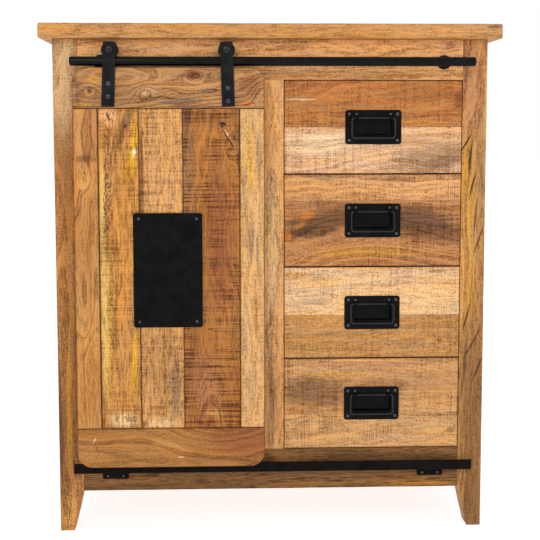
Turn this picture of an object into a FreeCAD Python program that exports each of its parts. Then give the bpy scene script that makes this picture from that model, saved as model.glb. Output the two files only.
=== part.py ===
import FreeCAD, Part

# A sideboard in solid wood: a sliding barn door hung from a steel rod, four drawers beside it, and a top
# that stands proud of the case. X runs to the right, Y to the back, Z up, in millimetres. The origin is on
# the floor, in the middle of the width and depth of the whole piece, fittings included.

import os
import re

import Sketcher
from FreeCAD import Placement, Rotation, Vector

X_AXIS = Vector(1, 0, 0)
Y_AXIS = Vector(0, 1, 0)
Z_AXIS = Vector(0, 0, 1)
FACE_UP = "XY_Plane"
FACE_FRONT = "XZ_Plane"
FACE_SIDE = "YZ_Plane"

doc = FreeCAD.newDocument("sideboard")
sheet = doc.addObject("Spreadsheet::Sheet", "sizes")
aliases = []
nodes = {}


def size(alias, content, meaning):
    """One row of the sheet: what it is, its number or formula, and its alias."""
    aliases.append(alias)
    row = len(aliases)
    sheet.set(f"A{row}", meaning)
    sheet.set(f"B{row}", str(content))
    sheet.setAlias(f"B{row}", alias)


# The case
size("overall_height", 900, "floor to the upper face of the top")
size("case_width", 760, "over the posts")
size("case_depth", 370, "front face of the posts to the back")
size("post_width", 43, "post, across the front")
size("post_depth", 43, "post, front to back")
size("foot_width", 25, "post where it meets the floor")
size("leg_height", 73, "floor to the bottom rail, the tapered part of a post")
size("top_width", 804, "top board, side to side")
size("top_thickness", 26, "top board")
size("top_front_overhang", 22, "top board past the front of the case")
size("top_rear_overhang", 8, "top board past the back of the case")
size("top_round", 3, "radius along the edges of the top board")
size("rail_thickness", 22, "rails and centre stile, front to back")
size("top_rail_height", 70, "top rails")
size("bottom_rail_height", 73, "bottom rails")
size("stile_width", 43, "centre stile")
size("side_rail_recess", 4, "side rails behind the outer face of the posts")
size("side_board_recess", 9, "side boards behind the outer face of the posts")
size("side_board_thickness", 14, "side boards")
size("side_boards", 3, "boards in one side")
size("back_thickness", 8, "back panel")
size("partition_thickness", 16, "upright between cupboard and drawers")
size("floor_thickness", 16, "bottom board")
size("shelf_thickness", 18, "cupboard shelf")
size("shelf_height", 480, "floor to the underside of the shelf")
size("shelf_depth", 270, "cupboard shelf, front to back")
size("shelf_play", 1, "shelf short of the cupboard's walls, each end")
size("cleat_width", 18, "cleats under the shelf, height and thickness")
size("ease", 1, "bevel along the edges of the boards")

# The drawers
size("drawer_count", 4, "drawers in the stack")
size("front_gap", 1, "gap around each drawer front")
size("front_thickness", 20, "drawer front")
size("front_ease", 1.2, "bevel along the edges of a drawer front")
size("box_depth", 300, "drawer box behind its front")
size("box_height", 128, "drawer box sides")
size("box_lift", 20, "lower edge of the front's opening to the box sides")
size("box_side", 12, "drawer box sides and back, thickness")
size("box_play", 3, "drawer box to the opening, each side")
size("groove_depth", 5, "groove that holds the drawer bottom")
size("groove_rise", 9, "lower edge of a box side to its groove")
size("drawer_bottom", 5, "drawer bottom, thickness")
size("runner_shoulder", 42, "height of a runner beside the box")
size("runner_bearing", 12, "width of a runner under the box")
size("runner_play", 0.5, "drawer box to its runner")

# The pulls on the drawers: a pressed plate with a finger pan, and a bail that hangs over the pan
size("pull_width", 99, "pull plate")
size("pull_height", 60, "pull plate")
size("pull_corner", 5, "corner radius of the plate")
size("pull_metal", 1.6, "sheet thickness")
size("pan_width", 68, "finger pan, inside")
size("pan_height", 28, "finger pan, inside")
size("pan_depth", 11, "finger pan, from the front of the plate")
size("pan_taper", 6, "slope of the pan's sides, in degrees")
size("pan_room", 1.5, "wood cut away around the pan")
size("bail_width", 80, "bail, over its bars")
size("bail_height", 39, "bail, over its bars")
size("bail_bar", 4, "bail bar, diameter")
size("bail_axis_rise", 15.8, "middle of the plate to the bail's upper bar")
size("bail_standoff", 3.2, "front of the plate to the middle of the bail's bar")
size("clip_spacing", 60, "between the two bail clips")
size("clip_width", 8, "bail clip, along the bar")
size("clip_metal", 1.2, "bail clip, thickness of its tab")
size("clip_rise", 11, "bail axis to the top of the clip's tab")
size("running_play", 0.05, "clearance in a running fit, on the radius")

# The sliding door
size("door_left", -343.5, "left edge of the door, from the middle of the case")
size("door_width", 330, "door")
size("door_height", 700, "door")
size("door_foot", 124, "floor to the door")
size("door_thickness", 20, "door frame")
size("door_rail_height", 70, "door's top and bottom rails")
size("door_stile_width", 43, "door's stiles")
size("door_corner", 26, "corner radius of the door")
size("door_ease", 1.6, "bevel along the edges of the door frame")
size("plank_thickness", 17, "planks inside the door frame")
size("plank_ease", 1, "bevel along the edges of the planks")
size("first_plank", 70, "left plank, width")
size("second_plank", 75.5, "middle plank, width")
size("plaque_width", 120, "black plate on the door")
size("plaque_shift", -3.5, "black plate, from the middle of the door")
size("plaque_height", 200, "black plate on the door")
size("plaque_metal", 2.5, "black plate, thickness")
size("plaque_corner", 4, "corner radius of the plate")
size("plaque_screw_inset", 10, "edge of the plate to its screws")
size("plaque_screw_head", 5, "screw head, diameter")

# The rolling gear
size("gear_shift", 3, "rod and guide bar, from the middle of the case")
size("rod_diameter", 16, "steel rod that carries the door")
size("rod_length", 702, "steel rod")
size("rod_height", 834.6, "floor to the middle of the rod")
size("rod_standoff", 26, "front of the case to the middle of the rod")
size("rod_end_bevel", 2, "bevel on the ends of the rod")
size("standoff_spacing", 600, "between the two standoffs")
size("standoff_stem", 10, "standoff, diameter")
size("flange_diameter", 25, "disc against the wood")
size("flange_thickness", 3, "disc against the wood")
size("wheel_diameter", 29, "grooved wheel")
size("wheel_width", 18, "grooved wheel")
size("tread_radius", 10.5, "middle of the wheel to the bottom of its groove")
size("groove_slope", 45, "flanks of the groove to its bottom, in degrees")
size("groove_play", 0.3, "wheel's groove to the rod")
size("axle_diameter", 8, "axle bolt")
size("axle_head_flats", 12, "axle bolt head and nut, across flats")
size("axle_head_height", 5, "axle bolt head")
size("axle_nut_height", 4, "axle bolt nut")
size("hanger_gap", 20, "between the strap and the back plate of a hanger")
size("strap_width", 22, "hanger strap and back plate")
size("strap_metal", 3, "hanger strap and back plate, thickness")
size("strap_rise", 13, "axle to the top of the strap")
size("strap_drop", 96.5, "axle to the bottom of the strap")
size("back_plate_drop", 27.5, "axle to the bottom of the back plate")
size("strap_corner", 2, "bevel on the corners of the strap")
size("left_hanger", -278.5, "left axle, from the middle of the case")
size("right_hanger", -78.5, "right axle, from the middle of the case")
size("left_tilt", 2.3, "left strap swung outwards, in degrees")
size("right_tilt", -1.7, "right strap swung outwards, in degrees")
size("left_bolt_drop", 57.5, "left axle to the first bolt in the door")
size("right_bolt_drop", 65, "right axle to the first bolt in the door")
size("bolt_pitch", 22, "between the two bolts of a strap")
size("bolt_head", 8.5, "door bolt head, diameter")

# The guide at the door's foot
size("bar_length", 712, "flat guide bar")
size("bar_height", 17.5, "flat guide bar")
size("bar_metal", 4, "flat guide bar, thickness")
size("bar_foot", 108, "floor to the guide bar")
size("bar_standoff", 11, "front of the case to the back of the bar")
size("bracket_spacing", 566, "between the two brackets")
size("bracket_width", 46, "bracket, across")
size("bracket_metal", 3, "bracket, thickness")
size("bracket_drop", 13, "bracket's foot below the guide bar")
size("bracket_foot_height", 24, "bracket's foot, height")
size("hook_width", 24, "guide hook on the back of the door")
size("hook_inset", 45, "edge of the door to the middle of a hook")
size("hook_metal", 2.5, "guide hook, thickness")
size("hook_rise", 30, "hook's plate up the back of the door")
size("hook_gap", 2, "hook to the guide bar")
size("hook_reach", 8, "hook down behind the guide bar")

# Worked out from the numbers above
size("half_case", "=case_width / 2", "middle to the outer face of a post")
size("post_inner", "=half_case - post_width", "middle to the inner face of a post")
size("half_stile", "=stile_width / 2", "middle to the edge of the centre stile")
size("hanger_reach", "=hanger_gap / 2 + strap_metal + axle_head_height", "middle of the rod to axle head")
size("front_reach", "=rod_standoff + hanger_reach", "case front to axle head")
size("case_front", "=-(case_depth + top_rear_overhang - front_reach) / 2", "Y of the front of the case")
size("case_back", "=case_front + case_depth", "Y of the back of the case")
size("top_underside", "=overall_height - top_thickness", "Z of the underside of the top")
size("opening_top", "=top_underside - top_rail_height", "Z of the top rail's lower edge")
size("floor_top", "=leg_height + bottom_rail_height", "Z of the bottom rail's upper edge")
size("opening_height", "=opening_top - floor_top", "between the rails")
size("opening_width", "=post_inner - half_stile", "between post and centre stile")
size("drawer_pitch", "=opening_height / drawer_count", "one drawer to the next")
size("side_inner", "=half_case - side_rail_recess - rail_thickness", "middle to the side rails' inner face")
size("boards_inner", "=half_case - side_board_recess - side_board_thickness", "middle to the side boards")
size("between_posts", "=case_depth - 2 * post_depth", "side rails, length")
size("box_width", "=opening_width - 2 * box_play", "drawer box, outside")
size("box_left", "=half_stile + box_play", "X of the drawer box")
size("box_right", "=box_left + box_width", "X of the drawer box's right side")
size("drawer_middle", "=half_stile + opening_width / 2", "X of the middle of the drawers")
size("runner_length", "=between_posts - 4", "drawer runners")
size("bail_axis_out", "=pull_metal + bail_standoff", "drawer front to the middle of the bail's bar")
size("clip_bore", "=bail_bar + 2 * running_play", "hole in a bail clip")
size("door_back", "=case_front - rod_standoff + door_thickness / 2", "Y of the door's back face")
size("door_front", "=door_back - door_thickness", "Y of the door's front face")
size("door_middle", "=door_left + door_width / 2", "X of the middle of the door")
size("plank_recess", "=(door_thickness - plank_thickness) / 2", "door frame to planks")
size("plank_length", "=door_height - 2 * door_rail_height", "planks and stiles, length")
size("third_plank", "=door_width - 2 * door_stile_width - first_plank - second_plank", "right plank, width")
size("rod_line", "=case_front - rod_standoff", "Y of the rod and the wheels")
size("rod_radius", "=rod_diameter / 2", "steel rod")
size("axle_height", "=rod_height + rod_radius + groove_play + tread_radius", "Z of the axles")
size("groove_radius", "=rod_radius + groove_play", "wheel's groove, section")
size("wheel_bore", "=axle_diameter + 2 * running_play", "hole in the wheel")
size("hanger_half_gap", "=hanger_gap / 2", "wheel's middle to the strap")
doc.recompute()

known = re.compile(r"\b(" + "|".join(aliases) + r")\b")


def full(expression):
    """The expression with each alias written with the name of its sheet."""
    return known.sub(r"sizes.\1", expression)


def value(expression):
    """The number that an expression over the sheet comes to now."""
    return float(sheet.evalExpression(full(expression)))


def bind(target, name, expression):
    """Ties a property of the target to the sheet."""
    target.setExpression(name, full(expression))


def place(target, x, y, z):
    """Ties the target's position to the sheet."""
    bind(target, ".Placement.Base.x", x)
    bind(target, ".Placement.Base.y", y)
    bind(target, ".Placement.Base.z", z)


def node(name, target):
    """Makes the target a sub-part of the sideboard under this name."""
    target.Label = name
    nodes[name] = target
    return target


def group(name, members):
    """Several separate solids that make one sub-part."""
    compound = doc.addObject("Part::Compound", name)
    compound.Links = members
    return node(name, compound)


def new_body(label):
    return doc.addObject("PartDesign::Body", label)


def sketch_on(body, role):
    """An empty sketch on one of the body's own origin planes."""
    plane = next(feature for feature in body.Origin.OriginFeatures if feature.Role == role)
    sketch = body.newObject("Sketcher::SketchObject", "sketch")
    sketch.AttachmentSupport = (plane, [""])
    sketch.MapMode = "FlatFace"
    return sketch


def hold_point(sketch, geometry, point, x, y):
    """Ties a point of the sketch to its distances from the sketch's origin."""
    for kind, expression in (("DistanceX", x), ("DistanceY", y)):
        added = sketch.addConstraint(Sketcher.Constraint(kind, -1, 1, geometry, point, value(expression)))
        name = f"{kind}_{geometry}_{point}"
        sketch.renameConstraint(added, name)
        bind(sketch, f"Constraints.{name}", expression)


def draw_outline(sketch, corners):
    """Straight sides from corner to corner, closed, with each corner held to the sheet."""
    points = [Vector(value(x), value(y), 0) for x, y in corners]
    first = sketch.GeometryCount
    last = first + len(points) - 1
    for start, end in zip(points, points[1:] + points[:1]):
        sketch.addGeometry(Part.LineSegment(start, end), False)
    for side in range(first, last):
        sketch.addConstraint(Sketcher.Constraint("Coincident", side, 2, side + 1, 1))
    sketch.addConstraint(Sketcher.Constraint("Coincident", last, 2, first, 1))
    for side, (x, y) in enumerate(corners, first):
        hold_point(sketch, side, 1, x, y)


def draw_circle(sketch, x, y, diameter):
    """A circle held to the sheet by its centre and diameter."""
    centre = Vector(value(x), value(y), 0)
    circle = Part.Circle(centre, Vector(0, 0, 1), value(diameter) / 2)
    added = sketch.addGeometry(circle, False)
    hold_point(sketch, added, 3, x, y)
    held = sketch.addConstraint(Sketcher.Constraint("Diameter", added, value(diameter)))
    sketch.renameConstraint(held, f"diameter_{added}")
    bind(sketch, f"Constraints.diameter_{added}", diameter)


def rectangle(width, height, x="0", y="0"):
    """Corners of a rectangle from its lower left corner."""
    right = f"{x} + {width}"
    upper = f"{y} + {height}"
    return [(x, y), (right, y), (right, upper), (x, upper)]


def centred(width, height, x="0", y="0"):
    """Corners of a rectangle about its middle."""
    return rectangle(width, height, f"{x} - ({width}) / 2", f"{y} - ({height}) / 2")


def pad(body, sketch, length, backwards=False, both_ways=False, taper=None):
    """Adds the sketch's outline to the body, as thick as the length says."""
    feature = body.newObject("PartDesign::Pad", "pad")
    feature.Profile = sketch
    bind(feature, "Length", length)
    feature.Reversed = backwards
    if both_ways:
        feature.SideType = "Symmetric"
    if taper:
        bind(feature, "TaperAngle", taper)
    doc.recompute()
    return feature


def pocket(body, sketch, depth=None, backwards=False, taper=None):
    """Cuts the sketch's outline out of the body, right through where no depth is given."""
    before = body.Shape.Volume
    feature = body.newObject("PartDesign::Pocket", "pocket")
    feature.Profile = sketch
    feature.Reversed = backwards
    if depth is None:
        feature.Type = "ThroughAll"
        feature.SideType = "Symmetric"
    else:
        bind(feature, "Length", depth)
    if taper:
        bind(feature, "TaperAngle", taper)
    doc.recompute()
    if body.Shape.Volume > before - 0.1:
        raise RuntimeError(f"a pocket in {body.Label} cut nothing")
    return feature


def bevel(body, width, where=None):
    """Bevels every edge of the body, or those whose middle passes the test."""
    base = body.Tip
    names = [f"Edge{number}" for number, edge in enumerate(base.Shape.Edges, 1) if where and where(edge)]
    feature = body.newObject("PartDesign::Chamfer", "bevel")
    feature.Base = (base, names or ["Edge1"])
    feature.UseAllEdges = where is None
    bind(feature, "Size", width)
    doc.recompute()
    return feature


def rounding(body, radius, where):
    """Rounds the edges whose middle passes the test."""
    base = body.Tip
    names = [f"Edge{number}" for number, edge in enumerate(base.Shape.Edges, 1) if where(edge)]
    feature = body.newObject("PartDesign::Fillet", "rounding")
    feature.Base = (base, names)
    bind(feature, "Radius", radius)
    doc.recompute()
    return feature


def runs_along(edge, axis):
    """Is the edge a straight line along this axis?"""
    return isinstance(edge.Curve, Part.Line) and abs(edge.Curve.Direction.dot(axis)) > 0.999


def board(label, width, depth, height, x, y, z, ease="ease"):
    """A plain board with bevelled edges, from its lowest corner."""
    body = new_body(label)
    sketch = sketch_on(body, FACE_UP)
    draw_outline(sketch, rectangle(width, depth))
    pad(body, sketch, height)
    if ease:
        bevel(body, ease)
    place(body, x, y, z)
    return body


def both_sides(expression):
    """The expression and its mirror image, for a piece on the left and one on the right."""
    return (("left", f"-({expression})"), ("right", expression))


# The case

def make_top_board():
    depth = "top_front_overhang + case_depth + top_rear_overhang"
    x, y, z = "-top_width / 2", "case_front - top_front_overhang", "top_underside"
    top = board("top_board", "top_width", depth, "top_thickness", x, y, z, ease=None)
    rounding(top, "top_round", lambda edge: edge.BoundBox.ZLength < 1)
    node("top_board", top)


def make_post(label, side, y):
    """A post whose inner face tapers from the bottom rail down to the foot."""
    inner = [("foot_width", "0"), ("post_width", "leg_height"), ("post_width", "top_underside")]
    outline = [("0", "0")] + inner + [("0", "top_underside")]
    left = "-half_case"
    if side == "right":
        outline = [(f"post_width - ({across})", up) for across, up in reversed(outline)]
        left = "post_inner"
    body = new_body(label)
    sketch = sketch_on(body, FACE_FRONT)
    draw_outline(sketch, outline)
    pad(body, sketch, "post_depth", backwards=True)
    bevel(body, "ease", lambda edge: edge.BoundBox.ZLength > 1)
    place(body, left, y, "0")
    return body


def make_posts():
    rear = []
    for side in ("left", "right"):
        node(f"front_{side}_post", make_post(f"front_{side}_post", side, "case_front"))
        rear.append(make_post(f"rear_{side}_post", side, "case_back - post_depth"))
    group("rear_posts", rear)


def make_front_rails():
    width = "2 * post_inner"
    for name, across, height, x, z in (
        ("front_top_rail", width, "top_rail_height", "-post_inner", "opening_top"),
        ("front_bottom_rail", width, "bottom_rail_height", "-post_inner", "leg_height"),
        ("centre_stile", "stile_width", "opening_height", "-half_stile", "floor_top"),
    ):
        node(name, board(name, across, "rail_thickness", height, x, "case_front", z))


def make_carcass_rails():
    """Top and bottom rails at the sides and the back, between the posts."""
    rails = []
    for height, z in (("top_rail_height", "opening_top"), ("bottom_rail_height", "leg_height")):
        back_y = "case_back - rail_thickness"
        rails.append(board("back_rail", "2 * post_inner", "rail_thickness", height, "-post_inner", back_y, z))
        for side, x in (("left", "-side_inner - rail_thickness"), ("right", "side_inner")):
            y = "case_front + post_depth"
            rails.append(board(f"{side}_rail", "rail_thickness", "between_posts", height, x, y, z))
    group("carcass_rails", rails)


def make_side_panels():
    """Upright boards side by side in each side frame."""
    width = "between_posts / side_boards"
    boards = []
    for side, x in (("left", "-boards_inner - side_board_thickness"), ("right", "boards_inner")):
        for number in range(int(value("side_boards"))):
            y = f"case_front + post_depth + {number} * {width}"
            name = f"{side}_board"
            boards.append(board(name, "side_board_thickness", width, "opening_height", x, y, "floor_top"))
    group("side_panels", boards)


def make_back_panel():
    width, height = "2 * post_inner", "opening_height"
    x, y = "-post_inner", "case_back - rail_thickness"
    panel = board("back_panel", width, "back_thickness", height, x, y, "floor_top", ease=None)
    node("back_panel", panel)


def make_partition():
    y = "case_front + rail_thickness"
    depth = "case_depth - 2 * rail_thickness"
    height = "top_underside - floor_top"
    left = "-partition_thickness / 2"
    partition = board("centre_partition", "partition_thickness", depth, height, left, y, "floor_top")
    node("centre_partition", partition)


def make_bottom_board():
    """The floor of the case, notched around the four posts."""
    depth = "case_depth - 2 * rail_thickness"
    notch_in = "(side_inner - post_inner)"
    notch_back = "(post_depth - rail_thickness)"
    near, far = "0", depth
    inner_near, inner_far = notch_back, f"{depth} - {notch_back}"
    left, inner_left = "-side_inner", f"-side_inner + {notch_in}"
    right, inner_right = "side_inner", f"side_inner - {notch_in}"
    outline = [
        (inner_left, near), (inner_right, near), (inner_right, inner_near), (right, inner_near),
        (right, inner_far), (inner_right, inner_far), (inner_right, far), (inner_left, far),
        (inner_left, inner_far), (left, inner_far), (left, inner_near), (inner_left, inner_near),
    ]
    body = new_body("bottom_board")
    sketch = sketch_on(body, FACE_UP)
    draw_outline(sketch, outline)
    pad(body, sketch, "floor_thickness")
    place(body, "0", "case_front + rail_thickness", "floor_top - floor_thickness")
    node("bottom_board", body)


def make_shelf():
    back = "case_back - rail_thickness"
    width = "boards_inner - partition_thickness / 2"
    left = "-boards_inner"
    y = f"{back} - shelf_depth"
    shelf_width = f"{width} - 2 * shelf_play"
    shelf_left = f"{left} + shelf_play"
    shelf = board("shelf", shelf_width, "shelf_depth", "shelf_thickness", shelf_left, y, "shelf_height")
    node("cupboard_shelf", notch_shelf(shelf))
    cleats = []
    for x in (left, "-partition_thickness / 2 - cleat_width"):
        z = "shelf_height - cleat_width"
        cleats.append(board("cleat", "cleat_width", "shelf_depth - post_depth", "cleat_width", x, y, z))
    group("shelf_cleats", cleats)


def notch_shelf(shelf):
    """Cuts the shelf's rear left corner around the rear post."""
    sketch = sketch_on(shelf, FACE_UP)
    notch_width = "(boards_inner - shelf_play - post_inner + 1)"
    notch_depth = "(post_depth - rail_thickness + 1)"
    draw_outline(sketch, rectangle(notch_width, notch_depth, "0", f"shelf_depth - {notch_depth}"))
    pocket(shelf, sketch)
    return shelf


# The drawers

def drawer_foot(number):
    """Z of the lower edge of a drawer's opening, counted from the top drawer."""
    return f"(floor_top + (drawer_count - {number}) * drawer_pitch)"


def make_runner(side, foot):
    """An L of wood: the drawer box slides on its lower leg and along its upright leg."""
    wall, box = ("partition_thickness / 2", "box_left")
    bearing = "runner_bearing"
    if side == "right":
        wall, box = ("boards_inner", "box_right")
        bearing = "-runner_bearing"
    clear = "runner_play" if side == "left" else "-runner_play"
    shelf_top = "box_lift - runner_play"
    outline = [
        (wall, "1"), (f"{box} + {bearing}", "1"), (f"{box} + {bearing}", shelf_top),
        (f"{box} - {clear}", shelf_top), (f"{box} - {clear}", "runner_shoulder"), (wall, "runner_shoulder"),
    ]
    body = new_body(f"{side}_runner")
    sketch = sketch_on(body, FACE_FRONT)
    draw_outline(sketch, outline)
    pad(body, sketch, "runner_length", backwards=True)
    place(body, "0", "case_front + post_depth", foot)
    return body


def make_runners():
    runners = []
    for number in range(1, int(value("drawer_count")) + 1):
        for side in ("left", "right"):
            runners.append(make_runner(side, drawer_foot(number)))
    group("drawer_runners", runners)


def make_drawer_front(name, foot):
    """The front, with a hollow for the finger pan and a groove for the drawer bottom."""
    width = "opening_width - 2 * front_gap"
    height = "drawer_pitch - 2 * front_gap"
    body = new_body(name)
    sketch = sketch_on(body, FACE_FRONT)
    draw_outline(sketch, centred(width, height))
    pad(body, sketch, "front_thickness", backwards=True)
    bevel(body, "front_ease")
    around = "2 * (pull_metal + pan_room)"
    hollow = sketch_on(body, FACE_FRONT)
    draw_outline(hollow, centred(f"(pan_width + {around})", f"(pan_height + {around})"))
    pocket(body, hollow, "pan_depth + pan_room")
    groove = sketch_on(body, FACE_SIDE)
    sill = f"-({height}) / 2 - front_gap + box_lift + groove_rise"
    draw_outline(groove, rectangle("groove_depth", "drawer_bottom", "front_thickness - groove_depth", sill))
    feature = pocket(body, groove)
    feature.Type = "Length"
    bind(feature, "Length", "box_width - 2 * box_side + 2 * groove_depth")
    place(body, "drawer_middle", "case_front", f"{foot} + drawer_pitch / 2")
    return body


def make_box_side(side, foot):
    """A side of the drawer box, grooved on its inner face for the bottom."""
    x = "box_left" if side == "left" else "box_right - box_side"
    y = "case_front + front_thickness"
    z = f"{foot} + box_lift"
    body = board(f"{side}_box_side", "box_side", "box_depth", "box_height", x, y, z, ease=None)
    groove = sketch_on(body, FACE_FRONT)
    inner = "box_side - groove_depth" if side == "left" else "0"
    draw_outline(groove, rectangle("groove_depth", "drawer_bottom", inner, "groove_rise"))
    pocket(body, groove)
    return body


def make_drawer_box(name, foot):
    group(f"{name}_box_sides", [make_box_side(side, foot) for side in ("left", "right")])
    width = "box_width - 2 * box_side"
    inside = "box_left + box_side"
    back_foot = "(box_lift + groove_rise + drawer_bottom)"
    back_height = f"box_height + box_lift - {back_foot}"
    y = "case_front + front_thickness + box_depth - box_side"
    z = f"{foot} + {back_foot}"
    back = board(f"{name}_box_back", width, "box_side", back_height, inside, y, z, ease=None)
    node(back.Label, back)
    floor_y = "case_front + front_thickness - groove_depth"
    bottom = board(
        f"{name}_bottom", f"{width} + 2 * groove_depth", "box_depth + groove_depth", "drawer_bottom",
        f"{inside} - groove_depth", floor_y, f"{foot} + box_lift + groove_rise", ease=None,
    )
    node(bottom.Label, bottom)


# The pulls. Each is drawn about the middle of its plate, with the drawer's face at Y = 0.

CORNERS = [(side, level) for side in (-1, 1) for level in (-1, 1)]


def place_on_front(target, foot):
    place(target, "drawer_middle", "case_front", f"{foot} + drawer_pitch / 2")


def make_pull_plate(name, foot):
    """A pressed plate whose middle is drawn back into a pan for the fingers."""
    body = new_body(name)
    plate = sketch_on(body, FACE_FRONT)
    draw_outline(plate, centred("pull_width", "pull_height"))
    pad(body, plate, "pull_metal")
    rounding(body, "pull_corner", lambda edge: runs_along(edge, Y_AXIS))
    shell = sketch_on(body, FACE_FRONT)
    draw_outline(shell, centred("(pan_width + 2 * pull_metal)", "(pan_height + 2 * pull_metal)"))
    pad(body, shell, "pan_depth", backwards=True, taper="-pan_taper")
    inside = sketch_on(body, FACE_FRONT)
    inside.AttachmentOffset = Placement(Vector(0, 0, value("pull_metal")), Rotation())
    draw_outline(inside, centred("pan_width", "pan_height"))
    pocket(body, inside, "pan_depth", taper="-pan_taper")
    place_on_front(body, foot)
    return body


def make_head(label, head, x, y, z):
    """The flat head of a screw or bolt, seated on the face at this Y."""
    disc = doc.addObject("Part::Prism", label)
    disc.Polygon = 12
    bind(disc, "Circumradius", f"{head} / 2")
    bind(disc, "Height", f"{head} * 0.3")
    disc.Placement.Rotation = Rotation(X_AXIS, 90)
    place(disc, x, y, z)
    return disc


def make_clip(label, x, foot):
    """A clip on the plate: a flat tab, folded below into an eye that the bail's bar turns in."""
    eye = doc.addObject("Part::Prism", "eye")
    eye.Polygon = 8
    bind(eye, "Circumradius", "bail_standoff / cos(22.5 deg)")
    bind(eye, "Height", "clip_width")
    eye.Placement.Rotation = Rotation(Y_AXIS, 90) * Rotation(Z_AXIS, 22.5)
    place(eye, "-clip_width / 2", "-bail_axis_out", "bail_axis_rise")
    tab = doc.addObject("Part::Box", "tab")
    bind(tab, "Length", "clip_width")
    bind(tab, "Width", "clip_metal")
    bind(tab, "Height", "clip_rise")
    place(tab, "-clip_width / 2", "-pull_metal - clip_metal", "bail_axis_rise")
    joined = doc.addObject("Part::Fuse", "joined")
    joined.Base = eye
    joined.Tool = tab
    bore = doc.addObject("Part::Prism", "bore")
    bore.Polygon = 8
    bind(bore, "Circumradius", "clip_bore / 2 / cos(22.5 deg)")
    bind(bore, "Height", "3 * clip_width")
    bore.Placement.Rotation = Rotation(Y_AXIS, 90) * Rotation(Z_AXIS, 22.5)
    place(bore, "-1.5 * clip_width", "-bail_axis_out", "bail_axis_rise")
    clip = doc.addObject("Part::Cut", label)
    clip.Base = joined
    clip.Tool = bore
    place(clip, f"drawer_middle + {x}", "case_front", f"{foot} + drawer_pitch / 2")
    return clip


def make_pull_fixings(name, foot):
    """The two clips of one pull."""
    group(name, [make_clip("clip", f"{side} * clip_spacing / 2", foot) for side in (-1, 1)])


def make_bail(name, foot):
    """A round bar bent into a closed frame. Its origin is on the middle of the upper bar."""
    body = new_body(name)
    path = sketch_on(body, FACE_FRONT)
    width = "(bail_width - bail_bar)"
    drop = "(bail_height - bail_bar)"
    left, right = f"-{width} / 2", f"{width} / 2"
    draw_outline(path, [("0", "0"), (right, "0"), (right, f"-{drop}"), (left, f"-{drop}"), (left, "0")])
    section = sketch_on(body, FACE_SIDE)
    draw_circle(section, "0", "0", "bail_bar")
    doc.recompute()
    pipe = body.newObject("PartDesign::AdditivePipe", "pipe")
    pipe.Profile = section
    pipe.Spine = (path, [])
    pipe.Transition = "Right corner"
    doc.recompute()
    place(body, "drawer_middle", "case_front - bail_axis_out", f"{foot} + drawer_pitch / 2 + bail_axis_rise")
    node(name, body)


def make_drawers():
    for number in range(1, int(value("drawer_count")) + 1):
        name = f"drawer_{number}"
        foot = drawer_foot(number)
        node(f"{name}_front", make_drawer_front(f"{name}_front", foot))
        make_drawer_box(name, foot)
        node(f"{name}_pull_plate", make_pull_plate(f"{name}_pull_plate", foot))
        make_pull_fixings(f"{name}_pull_fixings", foot)
        make_bail(f"{name}_bail", foot)


# The door

def make_door_rail(label, z, outer_end):
    """A rail across the whole door, its two outer corners rounded."""
    body = new_body(label)
    sketch = sketch_on(body, FACE_FRONT)
    draw_outline(sketch, rectangle("door_width", "door_rail_height"))
    pad(body, sketch, "door_thickness", backwards=True)
    outer = value(outer_end)

    def outer_corner(edge):
        return runs_along(edge, Y_AXIS) and abs(edge.CenterOfMass.z - outer) < 1

    rounding(body, "door_corner", outer_corner)
    bevel(body, "door_ease")
    place(body, "door_left", "door_front", z)
    node(label, body)


def make_door_frame():
    make_door_rail("door_top_rail", "door_foot + door_height - door_rail_height", "door_rail_height")
    make_door_rail("door_bottom_rail", "door_foot", "0")
    across, deep, tall = "door_stile_width", "door_thickness", "plank_length"
    z = "door_foot + door_rail_height"
    stiles = []
    for side, x in (("left", "door_left"), ("right", "door_left + door_width - door_stile_width")):
        stiles.append(board(f"{side}_stile", across, deep, tall, x, "door_front", z, ease="door_ease"))
    group("door_stiles", stiles)


def make_door_planks():
    planks = []
    x = "door_left + door_stile_width"
    for width in ("first_plank", "second_plank", "third_plank"):
        y = "door_front + plank_recess"
        z = "door_foot + door_rail_height"
        planks.append(board("plank", width, "plank_thickness", "plank_length", x, y, z, ease="plank_ease"))
        x = f"{x} + {width}"
    group("door_planks", planks)


def make_plaque():
    """A bare steel plate screwed to the planks."""
    body = new_body("plaque")
    plate = sketch_on(body, FACE_FRONT)
    draw_outline(plate, centred("plaque_width", "plaque_height"))
    pad(body, plate, "plaque_metal")
    rounding(body, "plaque_corner", lambda edge: runs_along(edge, Y_AXIS))
    middle = "door_foot + door_height / 2"
    face = "door_front + plank_recess"
    across = "door_middle + plaque_shift"
    place(body, across, face, middle)
    node("plaque", body)
    screws = []
    for side, level in CORNERS:
        x = f"{across} + {side} * (plaque_width / 2 - plaque_screw_inset)"
        z = f"{middle} + {level} * (plaque_height / 2 - plaque_screw_inset)"
        screws.append(make_head("screw", "plaque_screw_head", x, f"{face} - plaque_metal", z))
    group("plaque_screws", screws)


# The rolling gear. Straps, back plates, wheels and axle bolts are drawn about the middle of the axle.

def swing(target, tilt):
    """Turns the target about the axle by the tilt that its strap hangs at."""
    target.Placement.Rotation = Rotation(Y_AXIS, value(tilt))
    bind(target, ".Placement.Rotation.Angle", tilt)


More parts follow.
